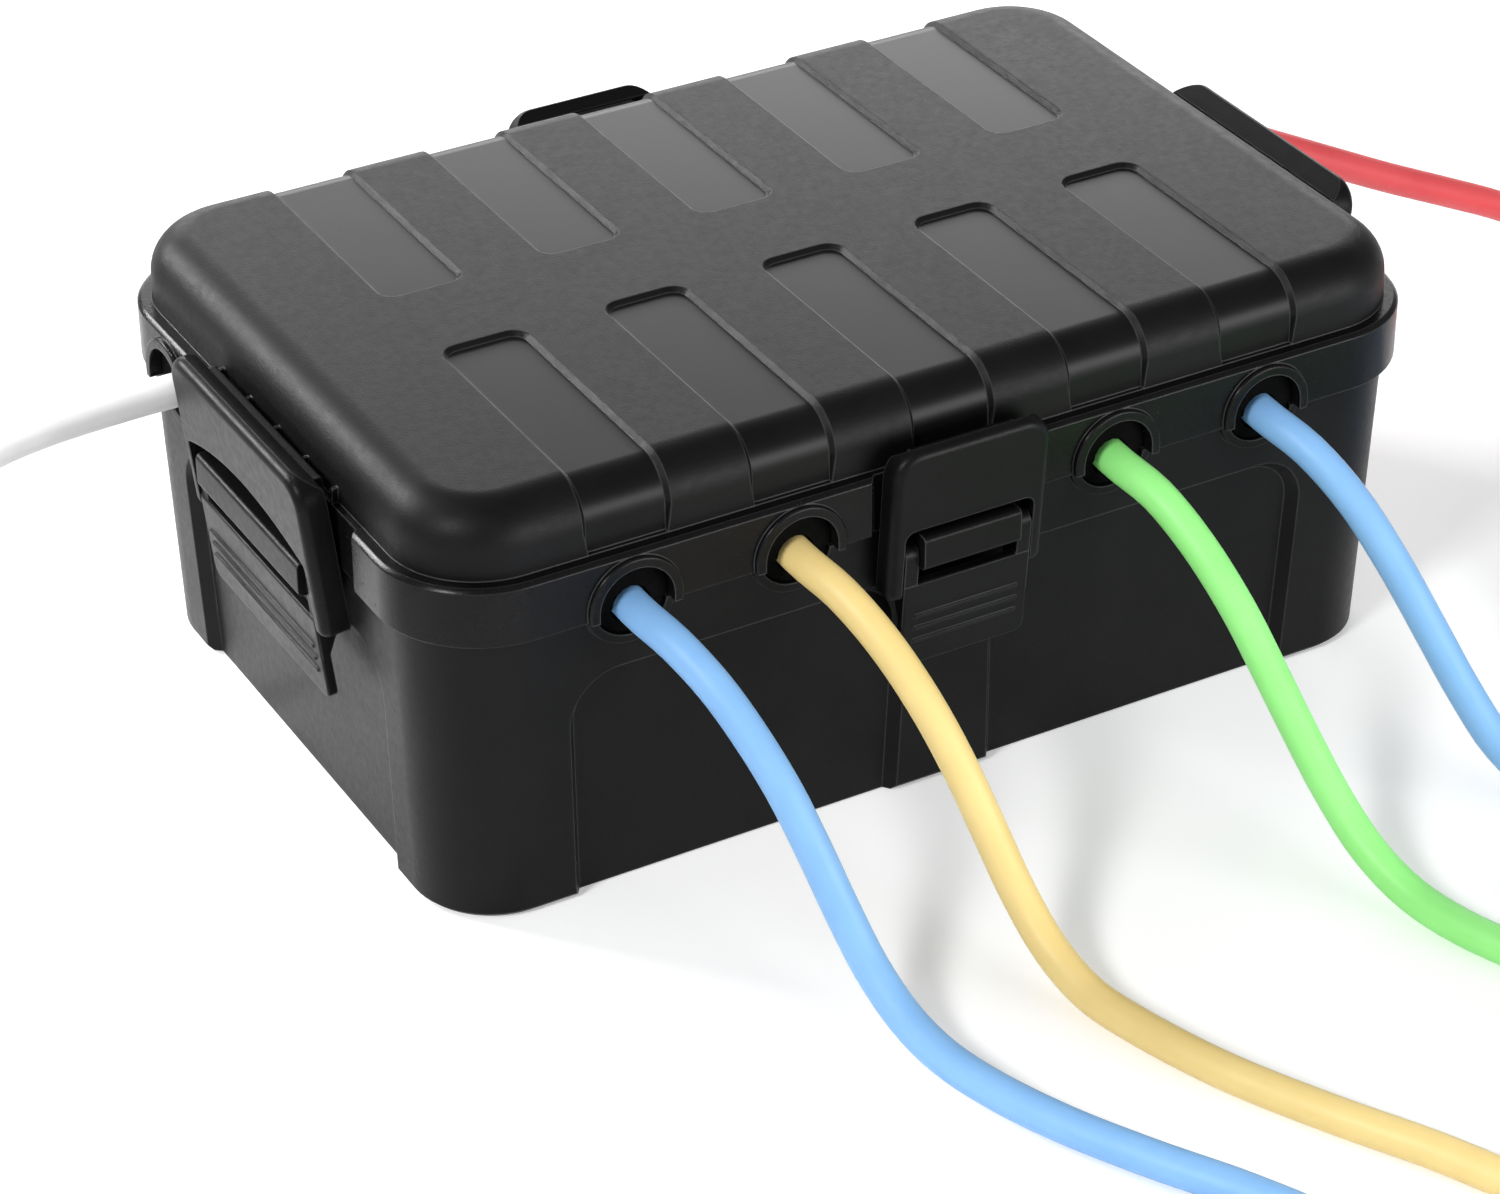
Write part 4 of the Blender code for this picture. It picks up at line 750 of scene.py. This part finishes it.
def rounded_plan(name, inset, height):
    """Opens a face with the case's plan and round corners for editing."""
    clear_selection()
    bpy.ops.mesh.primitive_plane_add(size=1.0, location=(0.0, 0.0, height))
    bpy.context.object.scale = (LID_LENGTH - 2 * inset, LID_WIDTH - 2 * inset, 1.0)
    settle(bpy.context.object)
    piece = open_piece(name)
    bpy.ops.mesh.select_all(action="SELECT")
    bpy.ops.mesh.bevel(offset=LID_CORNER - inset, segments=14, affect="VERTICES")
    bpy.ops.mesh.select_all(action="SELECT")
    return piece


def step_in(thickness, depth=0.0):
    bpy.ops.mesh.inset(thickness=thickness, depth=depth, use_even_offset=True)


def close_solid():
    bpy.ops.mesh.select_all(action="SELECT")
    bpy.ops.mesh.normals_make_consistent(inside=False)
    close_piece()


def dome_form(name, foot, foot_height, shrink, edge=0.0):
    """The lid's outer form, or one that is smaller by a wall, on a foot of the given inset."""
    piece = rounded_plan(name, foot, foot_height)
    ledge = LEDGE_HEIGHT - (LEDGE_WALL if shrink == LID_WALL else 0.0)
    top = LID_TOP - shrink
    extrude(0.0, 0.0, ledge - foot_height)
    if foot < DOME_INSET + shrink:
        step_in(DOME_INSET + shrink - foot)
    step_in(DOME_DRAFT, top - ledge)
    pick_edges(lambda a, b: min(a.z, b.z) > top - NEAR)
    round_edges(DOME_ROUND - shrink, 12)
    if edge:
        pick_edges(lambda a, b: min(a.z, b.z) > ledge - NEAR
                   and max(case_depth(a), case_depth(b)) < foot + NEAR)
        round_edges(edge, 2, 0.35)
        pick_edges(lambda a, b: max(a.z, b.z) < foot_height + NEAR)
        round_edges(edge / 3, 2)
    close_solid()
    return piece


def port_tunnel(u, upward, inner):
    """A round port, run straight up or down out of the wall."""
    piece = add_drum("port_tunnel", u, PORT_RADIUS, inner, TUNNEL_OUT, PORT_HEIGHT)
    bpy.ops.mesh.select_all(action="SELECT")
    bpy.ops.mesh.bisect(plane_co=(0.0, 0.0, PORT_HEIGHT), plane_no=(0.0, 0.0, 1.0), use_fill=True,
                        clear_outer=upward, clear_inner=not upward)
    pick_faces(lambda middle, normal: abs(normal.z) > 0.99 and abs(middle.z - PORT_HEIGHT) < NEAR)
    extrude(0.0, 0.0, TUNNEL_RISE if upward else -TUNNEL_DROP)
    close_solid()
    return piece


def on_outline(point):
    """Whether a point is on a finger recess's outline, at the dome's outer surface."""
    column = max(-LAST_COLUMN, min(LAST_COLUMN, round(point.x / RECESS_PITCH)))
    aside = abs(point.x - column * RECESS_PITCH) - RECESS_WIDTH / 2
    out = max(abs(point.y) - DOME_FLAT_HALF, 0.0)
    rise = max(point.z - (LID_TOP - DOME_ROUND), 0.0)
    if math.hypot(out, rise) < DOME_ROUND - SURFACE_SLACK or abs(point.y) < RECESS_INNER_END - NEAR:
        return False
    return abs(aside) < NEAR if out > NEAR else aside < NEAR


def rims_recess(a, b):
    """Whether an edge runs along one recess's outline."""
    flat = max(abs(a.y), abs(b.y)) < DOME_FLAT_HALF + NEAR
    if round(a.x / RECESS_PITCH) != round(b.x / RECESS_PITCH) or not (flat or abs(a.x - b.x) < NEAR):
        return False
    return on_outline(a) and on_outline(b)


# Lid: skirt, ledge and dome, hollowed, with port hoods, finger recesses, latch notches and ports
lid = dome_form("lid_shell_shown", 0.0, SKIRT_BOTTOM, 0.0, SKIRT_EDGE)
for side, u in PORTS:
    hood = add_drum("hood", u, HOOD_RADIUS, HOOD_ROOT, HOOD_PROUD, PORT_HEIGHT)
    bpy.ops.mesh.select_all(action="SELECT")
    bpy.ops.mesh.bisect(plane_co=(0.0, 0.0, SKIRT_BOTTOM), plane_no=(0.0, 0.0, 1.0), use_fill=True,
                        clear_inner=True)
    pick_edges(lambda a, b: max(a.y, b.y) < -HOOD_PROUD + NEAR and max(a.z, b.z) > SKIRT_BOTTOM + NEAR)
    round_edges(HOOD_EDGE, 4)
    close_solid()
    boolean(lid, place_on(hood, side), "UNION")
boolean(lid, dome_form("hollow", SKIRT_WALL, SKIRT_BOTTOM - FAR_OVERRUN, LID_WALL), "DIFFERENCE")

recesses = []
for column in range(-LAST_COLUMN, LAST_COLUMN + 1):
    for turn in (0.0, math.pi):
        middle = column * RECESS_PITCH
        low = (middle - RECESS_WIDTH / 2, -LID_WIDTH / 2 - OVERRUN, LEDGE_HEIGHT + RECESS_FOOT)
        high = (middle + RECESS_WIDTH / 2, -RECESS_INNER_END, LID_TOP + FAR_OVERRUN)
        recess = add_block("recess", low, high)
        pick_edges(lambda a, b: abs(a.z - b.z) > 0.01 and a.y > -RECESS_INNER_END - NEAR)
        round_edges(RECESS_CORNER, 8)
        close_solid()
        recess.matrix_world = Matrix.Rotation(turn, 4, "Z")
        settle(recess)
        recesses.append(recess)
recess = join_pieces(recesses, "recesses")
floor_form = dome_form("recess_floor", DOME_INSET + RECESS_DEPTH, LEDGE_HEIGHT - FAR_OVERRUN, RECESS_DEPTH)
boolean(recess, floor_form, "DIFFERENCE")
boolean(lid, recess, "DIFFERENCE")
take(lid)
bpy.ops.object.mode_set(mode="EDIT")
pick_edges(rims_recess)
round_edges(RECESS_EDGE, 1)
close_piece()

for side in SIDES:
    low_u, high_u = NOTCHES[side]
    notch = add_block("notch", (low_u, -NOTCH_OUT, SKIRT_BOTTOM - FAR_OVERRUN),
                      (high_u, NOTCH_DEPTH, LEDGE_HEIGHT + NOTCH_OUT))
    pick_faces(lambda middle, normal: normal.y > 0.9)
    share = (high_u - low_u - 2 * NOTCH_SLOPE) / (high_u - low_u)
    bpy.ops.transform.resize(value=(share, 1.0, 1.0),
                             center_override=((low_u + high_u) / 2, NOTCH_DEPTH, LEDGE_HEIGHT))
    close_solid()
    boolean(lid, place_on(notch, side), "DIFFERENCE")
for side, u in PORTS:
    boolean(lid, place_on(port_tunnel(u, False, LID_TUNNEL), side), "DIFFERENCE")
for side in ("left", "right"):
    for place in RIB_PLACES:
        u = -place if side == "left" else place
        rib = add_block("rib", (u - RIB_HALF, RIB_FRONT, LEDGE_HEIGHT - RIB_SINK),
                        (u + RIB_HALF, RIB_BACK, LEDGE_HEIGHT + RIB_RISE))
        pick_edges(lambda a, b: min(a.z, b.z) > LEDGE_HEIGHT and max(a.y, b.y) < RIB_FRONT + NEAR)
        round_edges(RIB_EDGE, 3)
        close_solid()
        boolean(lid, place_on(rib, side), "UNION")
even_shading(lid)
dress(lid, lid_black, "case_plastic", "lid", "lid_shell")

# Latch sizes. The bails' edges, falls and window corners and the ridges' ends are finer than in the
# part's own solids.
PIVOT_V = 0.0010
PIVOT_Z = 0.0795
PIN_HOLE = 0.00178
TRUNNION_V = 0.0016
TRUNNION_Z = 0.0706
TRUNNION_RADIUS = 0.0019
TRUNNION_HALF = 0.0015
TRUNNION_OUT = 0.0009
TRUNNION_HOLE = 0.0022
HOLE_HALF = 0.0017
HOLE_INSET = 0.0035
BAIL_BOTTOM = 0.0668
BAIL_WALL = 0.0022
BAIL_CORNER = 0.0082
BAIL_THROUGH = 0.004
LEG_WIDTH = 0.0042
ARCH_STEPS = 28
LEVER_GAP = 0.0004
LEVER_BOTTOM = 0.0458
LEVER_TOP = 0.0716
LEVER_PLATE = 0.0027
LEVER_LOBE = 0.0037
LOBE_STEPS = 16
CHEEK = 0.0040
CHEEK_FOOT = 0.0205
# Places out of the wall and below the pin
CHEEK_BACK = ((-0.0016, 0.0123), (0.0004, 0.0145))
CHEEK_SINK = 0.0004
RIDGE_PROUD = 0.0006
RIDGE_END = 0.0032
RIDGE_HEIGHTS = (0.0538, 0.0577, 0.0616)
KNUCKLE_LOW = 0.0764
KNUCKLE_HIGH = 0.0862
KNUCKLE_OUTER = 0.0068
KNUCKLE_ROOT = 0.0050
KNUCKLE_EDGE = 0.0015
BAIL_EDGE = 0.0028
BAIL_FOOT_ROUND = 0.0030
BAIL_OUTLINE_ROUND = 0.0027
POCKET_CORNER = 0.0060
LIP_ROOT = 0.001
LIP_DROP = 0.0008
LIP_HEIGHT = 0.0034
LIP_EDGE = 0.0008
LEVER_CORNER = 0.0030
LEVER_EDGE = 0.0007
RIDGE_HALF = 0.0006
RIDGE_ROUND = 0.00055
RIDGE_EDGE = 0.0004
# Half width, lean in degrees, heights of the bail's top and window, the window's arch and corners, the
# fall of the bail's top, and how far out its inner and outer faces, its lip and the lever's face are
LONG_LATCH = {"half": 0.0236, "lean": 4.6, "top": 0.1126, "window": 0.0886, "arch": 0.0,
              "corner": 0.0030, "fall": 0.0028, "inner": -0.0017, "outer": 0.0045, "lip": -0.0040,
              "lever": 0.0050}
SIDE_LATCH = {"half": 0.0405, "lean": 6.5, "top": 0.1148, "window": 0.0886, "arch": 0.0068,
              "corner": 0.0010, "fall": 0.0040, "inner": -0.0021, "outer": 0.0057, "lip": -0.0049,
              "lever": 0.0057}
BACK_LATCH = dict(LONG_LATCH, top=0.1155)
LATCHES = {"front": LONG_LATCH, "right": SIDE_LATCH, "back": BACK_LATCH, "left": SIDE_LATCH}
# How far each bail leans further out, in degrees, and where each latch sits along its wall
BAIL_SLACKS = {"front": 0.0, "right": 2.5, "back": 6.5, "left": 0.0}
LATCH_SHIFTS = {"front": 0.0, "right": -0.006, "back": 0.0, "left": 0.006}

# Base: drafted tub with set-in wall panels, cable saddles, latch knuckles and ports


def lever_half(side):
    return LATCHES[side]["half"] - LEG_WIDTH - LEVER_GAP


def tub_form(name, inset, top, foot, edge=0.0):
    """The tub's drafted form, smaller by an inset, from its top down to its foot."""
    piece = rounded_plan(name, BASE_INSET + inset, top)
    extrude(0.0, 0.0, SKIRT_BOTTOM - top)
    bpy.ops.mesh.select_all(action="SELECT")
    bpy.ops.mesh.normals_make_consistent(inside=False)
    pick_faces(lambda middle, normal: normal.z < -0.9)
    drop = SKIRT_BOTTOM - foot
    step_in(BASE_DRAFT * drop / SKIRT_BOTTOM, drop - edge)
    if edge:
        step_in(edge, edge)
    close_solid()
    return piece


def wall_panels(grow, depth):
    """The blocks that set the wall panels in, flared outwards and following the tub's draft."""
    spans = [("front", LONG_PANEL), ("back", LONG_PANEL), ("right", (-SIDE_PANEL_HALF, SIDE_PANEL_HALF)),
             ("left", (-SIDE_PANEL_HALF, SIDE_PANEL_HALF))]
    spans += [(side, (-LONG_PANEL[1], -LONG_PANEL[0])) for side in ("front", "back")]
    blocks = []
    for side, (low_u, high_u) in spans:
        flare = PANEL_START + PANEL_DEPTH + grow
        face = WALL_FACE - PANEL_START
        block = add_block("panel", (low_u - flare, face, PANEL_FOOT),
                          (high_u + flare, face + 0.0001, PANEL_TOP + flare))
        pick_edges(lambda a, b: abs(a.y - b.y) > NEAR and min(a.z, b.z) > 0.0)
        round_edges(PANEL_CORNER + flare, 10)
        pick_faces(lambda middle, normal: normal.y > 0.9)
        step_in(*PANEL_TAPER)
        close_solid()
        blocks.append(place_on(block, side))
    panels = join_pieces(blocks, "panels")
    boolean(panels, tub_form("core", depth, SKIRT_BOTTOM + OVERRUN, -2 * FAR_OVERRUN), "DIFFERENCE")
    return panels


def cross_rod(name, half, radius, v, height):
    """A rod along the front wall."""
    clear_selection()
    bpy.ops.mesh.primitive_cylinder_add(vertices=28, radius=radius, depth=2 * half,
                                        location=(0.0, -v, height), rotation=(0.0, math.pi / 2, 0.0))
    settle(bpy.context.object)
    open_piece(name)
    close_solid()
    return bpy.context.object


def slide_along(piece, u):
    piece.matrix_world = Matrix.Translation((u, 0.0, 0.0))
    settle(piece)
    return piece


base = tub_form("base_shell_shown", 0.0, RIM_TOP, 0.0, FOOT_EDGE)
boolean(base, wall_panels(0.0, PANEL_DEPTH), "DIFFERENCE")
cavity = tub_form("cavity", BASE_WALL, RIM_TOP + FAR_OVERRUN, BASE_FLOOR)
boolean(cavity, wall_panels(BASE_WALL, PANEL_DEPTH + BASE_WALL), "DIFFERENCE")
boolean(base, cavity, "DIFFERENCE")
for side, u in PORTS:
    saddle = add_drum("saddle", u, SADDLE_RADIUS, SADDLE_ROOT, SADDLE_PROUD, PORT_HEIGHT)
    bpy.ops.mesh.select_all(action="SELECT")
    bpy.ops.mesh.bisect(plane_co=(0.0, 0.0, SKIRT_BOTTOM - SKIRT_GAP), plane_no=(0.0, 0.0, 1.0),
                        use_fill=True, clear_outer=True)
    pick_edges(lambda a, b: max(a.y, b.y) < -SADDLE_PROUD + NEAR and min(a.z, b.z) < SKIRT_BOTTOM - OVERRUN)
    round_edges(SADDLE_EDGE, 3)
    close_solid()
    boolean(base, place_on(saddle, side), "UNION")
for side in SIDES:
    half = lever_half(side) - CHEEK - LEVER_GAP
    knuckle = add_block("knuckle", (-half, -KNUCKLE_OUTER, KNUCKLE_LOW), (half, KNUCKLE_ROOT, KNUCKLE_HIGH))
    pick_edges(lambda a, b: abs(a.x - b.x) > half and max(a.y, b.y) < -KNUCKLE_OUTER + NEAR)
    round_edges(KNUCKLE_EDGE, 6)
    close_solid()
    boolean(base, place_on(slide_along(knuckle, LATCH_SHIFTS[side]), side), "UNION")
    pin_hole = cross_rod("pin_hole", lever_half(side), PIN_HOLE, PIVOT_V, PIVOT_Z)
    boolean(base, place_on(slide_along(pin_hole, LATCH_SHIFTS[side]), side), "DIFFERENCE")
for side, u in PORTS:
    boolean(base, place_on(port_tunnel(u, True, BASE_TUNNEL), side), "DIFFERENCE")
even_shading(base)
dress(base, case_black, "case_plastic", "base", "base_shell")

# Latches: a bail that hooks over the lid's ledge, on a lever that turns on a pin in the knuckle


def add_outline(name, points, along):
    """Opens a prism with the given corners for editing."""
    clear_selection()
    bpy.ops.mesh.primitive_circle_add(vertices=len(points), radius=1.0, fill_type="NGON")
    for vertex, point in zip(bpy.context.object.data.vertices, points):
        vertex.co = point
    piece = open_piece(name)
    bpy.ops.mesh.select_all(action="SELECT")
    extrude(*along)
    return piece


def tip(piece, degrees, v, height):
    """Leans a piece out about a line along the front wall."""
    centre = Vector((0.0, -v, height))
    lean = Matrix.Rotation(math.radians(degrees), 4, "X")
    piece.matrix_world = Matrix.Translation(centre) @ lean @ Matrix.Translation(-centre)
    settle(piece)


def hang(piece, side):
    """Leans a latch piece out about its pin and carries it to its wall."""
    tip(piece, LATCHES[side]["lean"], PIVOT_V, PIVOT_Z)
    return place_on(slide_along(piece, LATCH_SHIFTS[side]), side)


def window_height(latch, share):
    """The top of a bail's window at a share of its half width, with rounded upper corners."""
    opening = latch["half"] - LEG_WIDTH
    corner = latch["corner"]
    over = max(abs(share) * opening - (opening - corner), 0.0)
    drop = corner - math.sqrt(max(corner ** 2 - over ** 2, 0.0))
    return latch["window"] + latch["arch"] * (1 - share ** 2) - drop


def make_bail(side):
    latch = LATCHES[side]
    half, top, inner, outer = latch["half"], latch["top"], latch["inner"], latch["outer"]
    bail = add_block("bail_" + side + "_shown", (-half, -outer, BAIL_BOTTOM), (half, -inner, top))
    pick_edges(lambda a, b: abs(a.y - b.y) > BAIL_THROUGH and min(a.z, b.z) > top - NEAR)
    round_edges(BAIL_CORNER, 10)
    pick_edges(lambda a, b: abs(a.y - b.y) > BAIL_THROUGH and max(a.z, b.z) < BAIL_BOTTOM + NEAR)
    round_edges(BAIL_FOOT_ROUND, 7)
    pick_edges(lambda a, b: max(a.y, b.y) < -outer + NEAR)
    round_edges(BAIL_OUTLINE_ROUND, 7)
    close_solid()
    opening = half - LEG_WIDTH
    shares = [math.cos(math.pi * i / ARCH_STEPS) for i in range(ARCH_STEPS + 1)]
    arch = [(opening * share, window_height(latch, share)) for share in shares]
    corners = [(-opening, BAIL_BOTTOM - 2 * OVERRUN), (opening, BAIL_BOTTOM - 2 * OVERRUN)] + arch
    window = add_outline("window", [(x, -outer - OVERRUN, z) for x, z in corners],
                         (0.0, outer - inner + 2 * OVERRUN, 0.0))
    close_solid()
    boolean(bail, window, "DIFFERENCE")
    room = half - BAIL_WALL
    low = latch["window"] + latch["arch"] + BAIL_WALL
    ceiling = top - BAIL_WALL - latch["fall"]
    pocket = add_block("pocket", (-room, -outer + BAIL_WALL, low), (room, -inner + 4 * OVERRUN, ceiling))
    pick_edges(lambda a, b: abs(a.y - b.y) > BAIL_THROUGH and min(a.z, b.z) > ceiling - NEAR)
    round_edges(POCKET_CORNER, 8)
    close_solid()
    boolean(bail, pocket, "DIFFERENCE")
    for sign in (-1.0, 1.0):
        hole = cross_rod("trunnion_hole", HOLE_HALF, TRUNNION_HOLE, TRUNNION_V, TRUNNION_Z)
        boolean(bail, slide_along(hole, sign * (half - HOLE_INSET)), "DIFFERENCE")
    low_top = top - latch["fall"]
    slope = [(-outer + BAIL_EDGE, top), (-inner, low_top), (-inner + OVERRUN, low_top),
             (-inner + OVERRUN, top + OVERRUN), (-outer + BAIL_EDGE, top + OVERRUN)]
    wedge = add_outline("wedge", [(-half - OVERRUN, y, z) for y, z in slope],
                        (2 * half + 2 * OVERRUN, 0.0, 0.0))
    close_solid()
    boolean(bail, wedge, "DIFFERENCE")
    lip_half = half - BAIL_CORNER
    lip_top = low_top - LIP_DROP
    lip = add_block("lip", (-lip_half, -inner - LIP_ROOT, lip_top - LIP_HEIGHT),
                    (lip_half, -latch["lip"], lip_top))
    pick_edges(lambda a, b: abs(a.x - b.x) > half and min(a.y, b.y) > -latch["lip"] - NEAR)
    round_edges(LIP_EDGE, 4)
    close_solid()
    boolean(bail, lip, "UNION")
    even_shading(bail)
    tip(bail, BAIL_SLACKS[side], TRUNNION_V, TRUNNION_Z)
    return hang(bail, side)


def make_lever(side):
    half = lever_half(side)
    face = LATCHES[side]["lever"]
    lever = add_block("lever_" + side + "_shown", (-half, -face, LEVER_BOTTOM),
                      (half, -face + LEVER_PLATE, LEVER_TOP))
    pick_edges(lambda a, b: abs(a.y - b.y) > LEVER_PLATE / 2 and max(a.z, b.z) < LEVER_BOTTOM + NEAR)
    round_edges(LEVER_CORNER, 7)
    pick_edges(lambda a, b: max(a.y, b.y) < -face + NEAR)
    round_edges(LEVER_EDGE, 3)
    close_solid()
    plate_z = PIVOT_Z - CHEEK_FOOT
    angles = [math.pi * i / LOBE_STEPS for i in range(LOBE_STEPS + 1)]
    lobe = [(PIVOT_V + LEVER_LOBE * math.cos(angle), PIVOT_Z + LEVER_LOBE * math.sin(angle))
            for angle in angles]
    profile = [(face - CHEEK_SINK, plate_z)] + lobe + [(v, PIVOT_Z - drop) for v, drop in CHEEK_BACK]
    profile.append((face - LEVER_PLATE + CHEEK_SINK, plate_z))
    for sign in (-1.0, 1.0):
        cheek = add_outline("cheek", [(sign * (half - CHEEK), -v, z) for v, z in profile],
                            (sign * CHEEK * 0.9999, 0.0, 0.0))
        close_solid()
        boolean(lever, cheek, "UNION")
        trunnion = cross_rod("trunnion", TRUNNION_HALF, TRUNNION_RADIUS, TRUNNION_V, TRUNNION_Z)
        boolean(lever, slide_along(trunnion, sign * (half + TRUNNION_OUT)), "UNION")
    for height in RIDGE_HEIGHTS:
        ridge = add_block("ridge", (-half + RIDGE_END, -face - RIDGE_PROUD, height - RIDGE_HALF),
                          (half - RIDGE_END, -face + RIDGE_PROUD, height + RIDGE_HALF))
        pick_edges(lambda a, b: abs(a.y - b.y) > RIDGE_PROUD)
        round_edges(RIDGE_ROUND, 5)
        pick_edges(lambda a, b: max(a.y, b.y) < -face - RIDGE_PROUD + NEAR)
        round_edges(RIDGE_EDGE, 3)
        close_solid()
        boolean(lever, ridge, "UNION")
    boolean(lever, cross_rod("pin_hole", half + OVERRUN, PIN_HOLE, PIVOT_V, PIVOT_Z), "DIFFERENCE")
    even_shading(lever)
    return hang(lever, side)


for side in SIDES:
    dress(make_lever(side), case_black, "case_plastic", "lever_" + side, "lever_" + side)
    dress(make_bail(side), case_black, "case_plastic", "bail_" + side, "bail_" + side)

# Nodes that keep their own solid, and then nodes shown by a smoothly shaded copy of it


def paint(names, material):
    for node in names:
        nodes[node].data.materials.clear()
        nodes[node].data.materials.append(material)


paint(["seal_upper_" + name for name in PORT_NAMES], seal_black)
paint(["seal_lower_" + name for name in PORT_NAMES] + ["lid_gasket"], seal_black)
paint(["hinge_pin_" + side for side in SIDES], pin_steel)
paint(["busbar_live", "busbar_neutral", "busbar_earth"], contact_brass)
paint(["surge_board"], board_green)

SMOOTHED = [
    ("strip_tray", strip_grey, "strip_plastic", "base"),
    ("strip_cover", strip_grey, "strip_plastic", "base"),
    ("switch_rocker", switch_red, "switch_plastic", "switch_rocker"),
    ("reset_button", button_black, "button_plastic", "reset_button"),
    ("indicator_lens", lens_amber, "lens_plastic", "base"),
]
for name in PORT_NAMES[:5]:
    SMOOTHED.append(("plug_" + name, jackets[TONES[name]], TONES[name] + "_jacket", "base"))
for node, material, slot, body in SMOOTHED:
    dress(merged_copy(node, node + "_shown"), material, slot, body, node)

# Floor, world and lamps


def seen_directly(tree):
    """One where the ray comes from the camera, a gloss or a clear piece."""
    path = tree.nodes.new("ShaderNodeLightPath")
    total = path.outputs["Is Camera Ray"]
    for kind in ("Is Glossy Ray", "Is Transmission Ray"):
        total = calculate(tree, "MAXIMUM", total, path.outputs[kind])
    return total


FLOOR_SIZE = 14.0
FLOOR_DROP = 0.0004
FLOOR_COLOUR = (0.90, 0.90, 0.90)
FLOOR_LIFT = 0.27
WORLD_LIGHT = 0.32

clear_selection()
bpy.ops.mesh.primitive_plane_add(size=FLOOR_SIZE, location=(0.0, 0.0, -FLOOR_DROP))
floor = bpy.context.object
floor.name = "floor"
settle(floor)
floor_material, floor_tree, floor_shader = new_material("floor_white")
shade_colour(floor_tree, floor_shader, object_noise(floor_tree, 3.0), FLOOR_COLOUR, FLOOR_COLOUR)
floor_shader.inputs["Roughness"].default_value = 1.0
floor_shader.inputs["Specular IOR Level"].default_value = 0.0
floor_shader.inputs["Emission Color"].default_value = (1.0, 1.0, 1.0, 1.0)
lift = calculate(floor_tree, "MULTIPLY", seen_directly(floor_tree), FLOOR_LIFT)
floor_tree.links.new(lift, floor_shader.inputs["Emission Strength"])
floor.data.materials.append(floor_material)
floor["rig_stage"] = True

world = bpy.data.worlds.new("studio")
bpy.context.scene.world = world
world.use_nodes = True
sky = world.node_tree.nodes["Background"]
sky.inputs["Color"].default_value = (1.0, 1.0, 1.0, 1.0)
sky.inputs["Strength"].default_value = WORLD_LIGHT


def add_lamp(name, place, target, width, height, power, fan):
    lamp = bpy.data.lights.new(name, "AREA")
    lamp.shape = "RECTANGLE"
    lamp.size = width
    lamp.size_y = height
    lamp.energy = power
    lamp.spread = math.radians(fan)
    holder = bpy.data.objects.new(name, lamp)
    bpy.context.scene.collection.objects.link(holder)
    aim = (Vector(target) - Vector(place)).to_track_quat("-Z", "Y")
    holder.matrix_world = Matrix.Translation(place) @ aim.to_matrix().to_4x4()


# Place, target, width and height in metres, power in watts and the angle the light fans out over
LAMPS = {
    "back_soft": ((0.40, 0.80, 0.37), (0.0, 0.05, 0.12), 1.1, 0.28, 7.2, 180.0),
    "left_soft": ((-0.62, 0.85, 0.60), (-0.05, 0.0, 0.10), 0.6, 0.30, 1.16, 36.0),
    "left_high": ((-0.32, 0.30, 0.90), (-0.20, 0.05, 0.0), 0.12, 0.12, 0.08, 18.0),
    "key_soft": ((-2.20, -1.00, 1.90), (0.1, -0.2, 0.0), 0.6, 0.6, 55.0, 180.0),
    "front_low": ((0.72, -1.50, 0.34), (0.0, -0.1, 0.11), 1.0, 0.52, 20.0, 180.0),
}
for name, lamp_values in LAMPS.items():
    add_lamp(name, *lamp_values)

low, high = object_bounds()
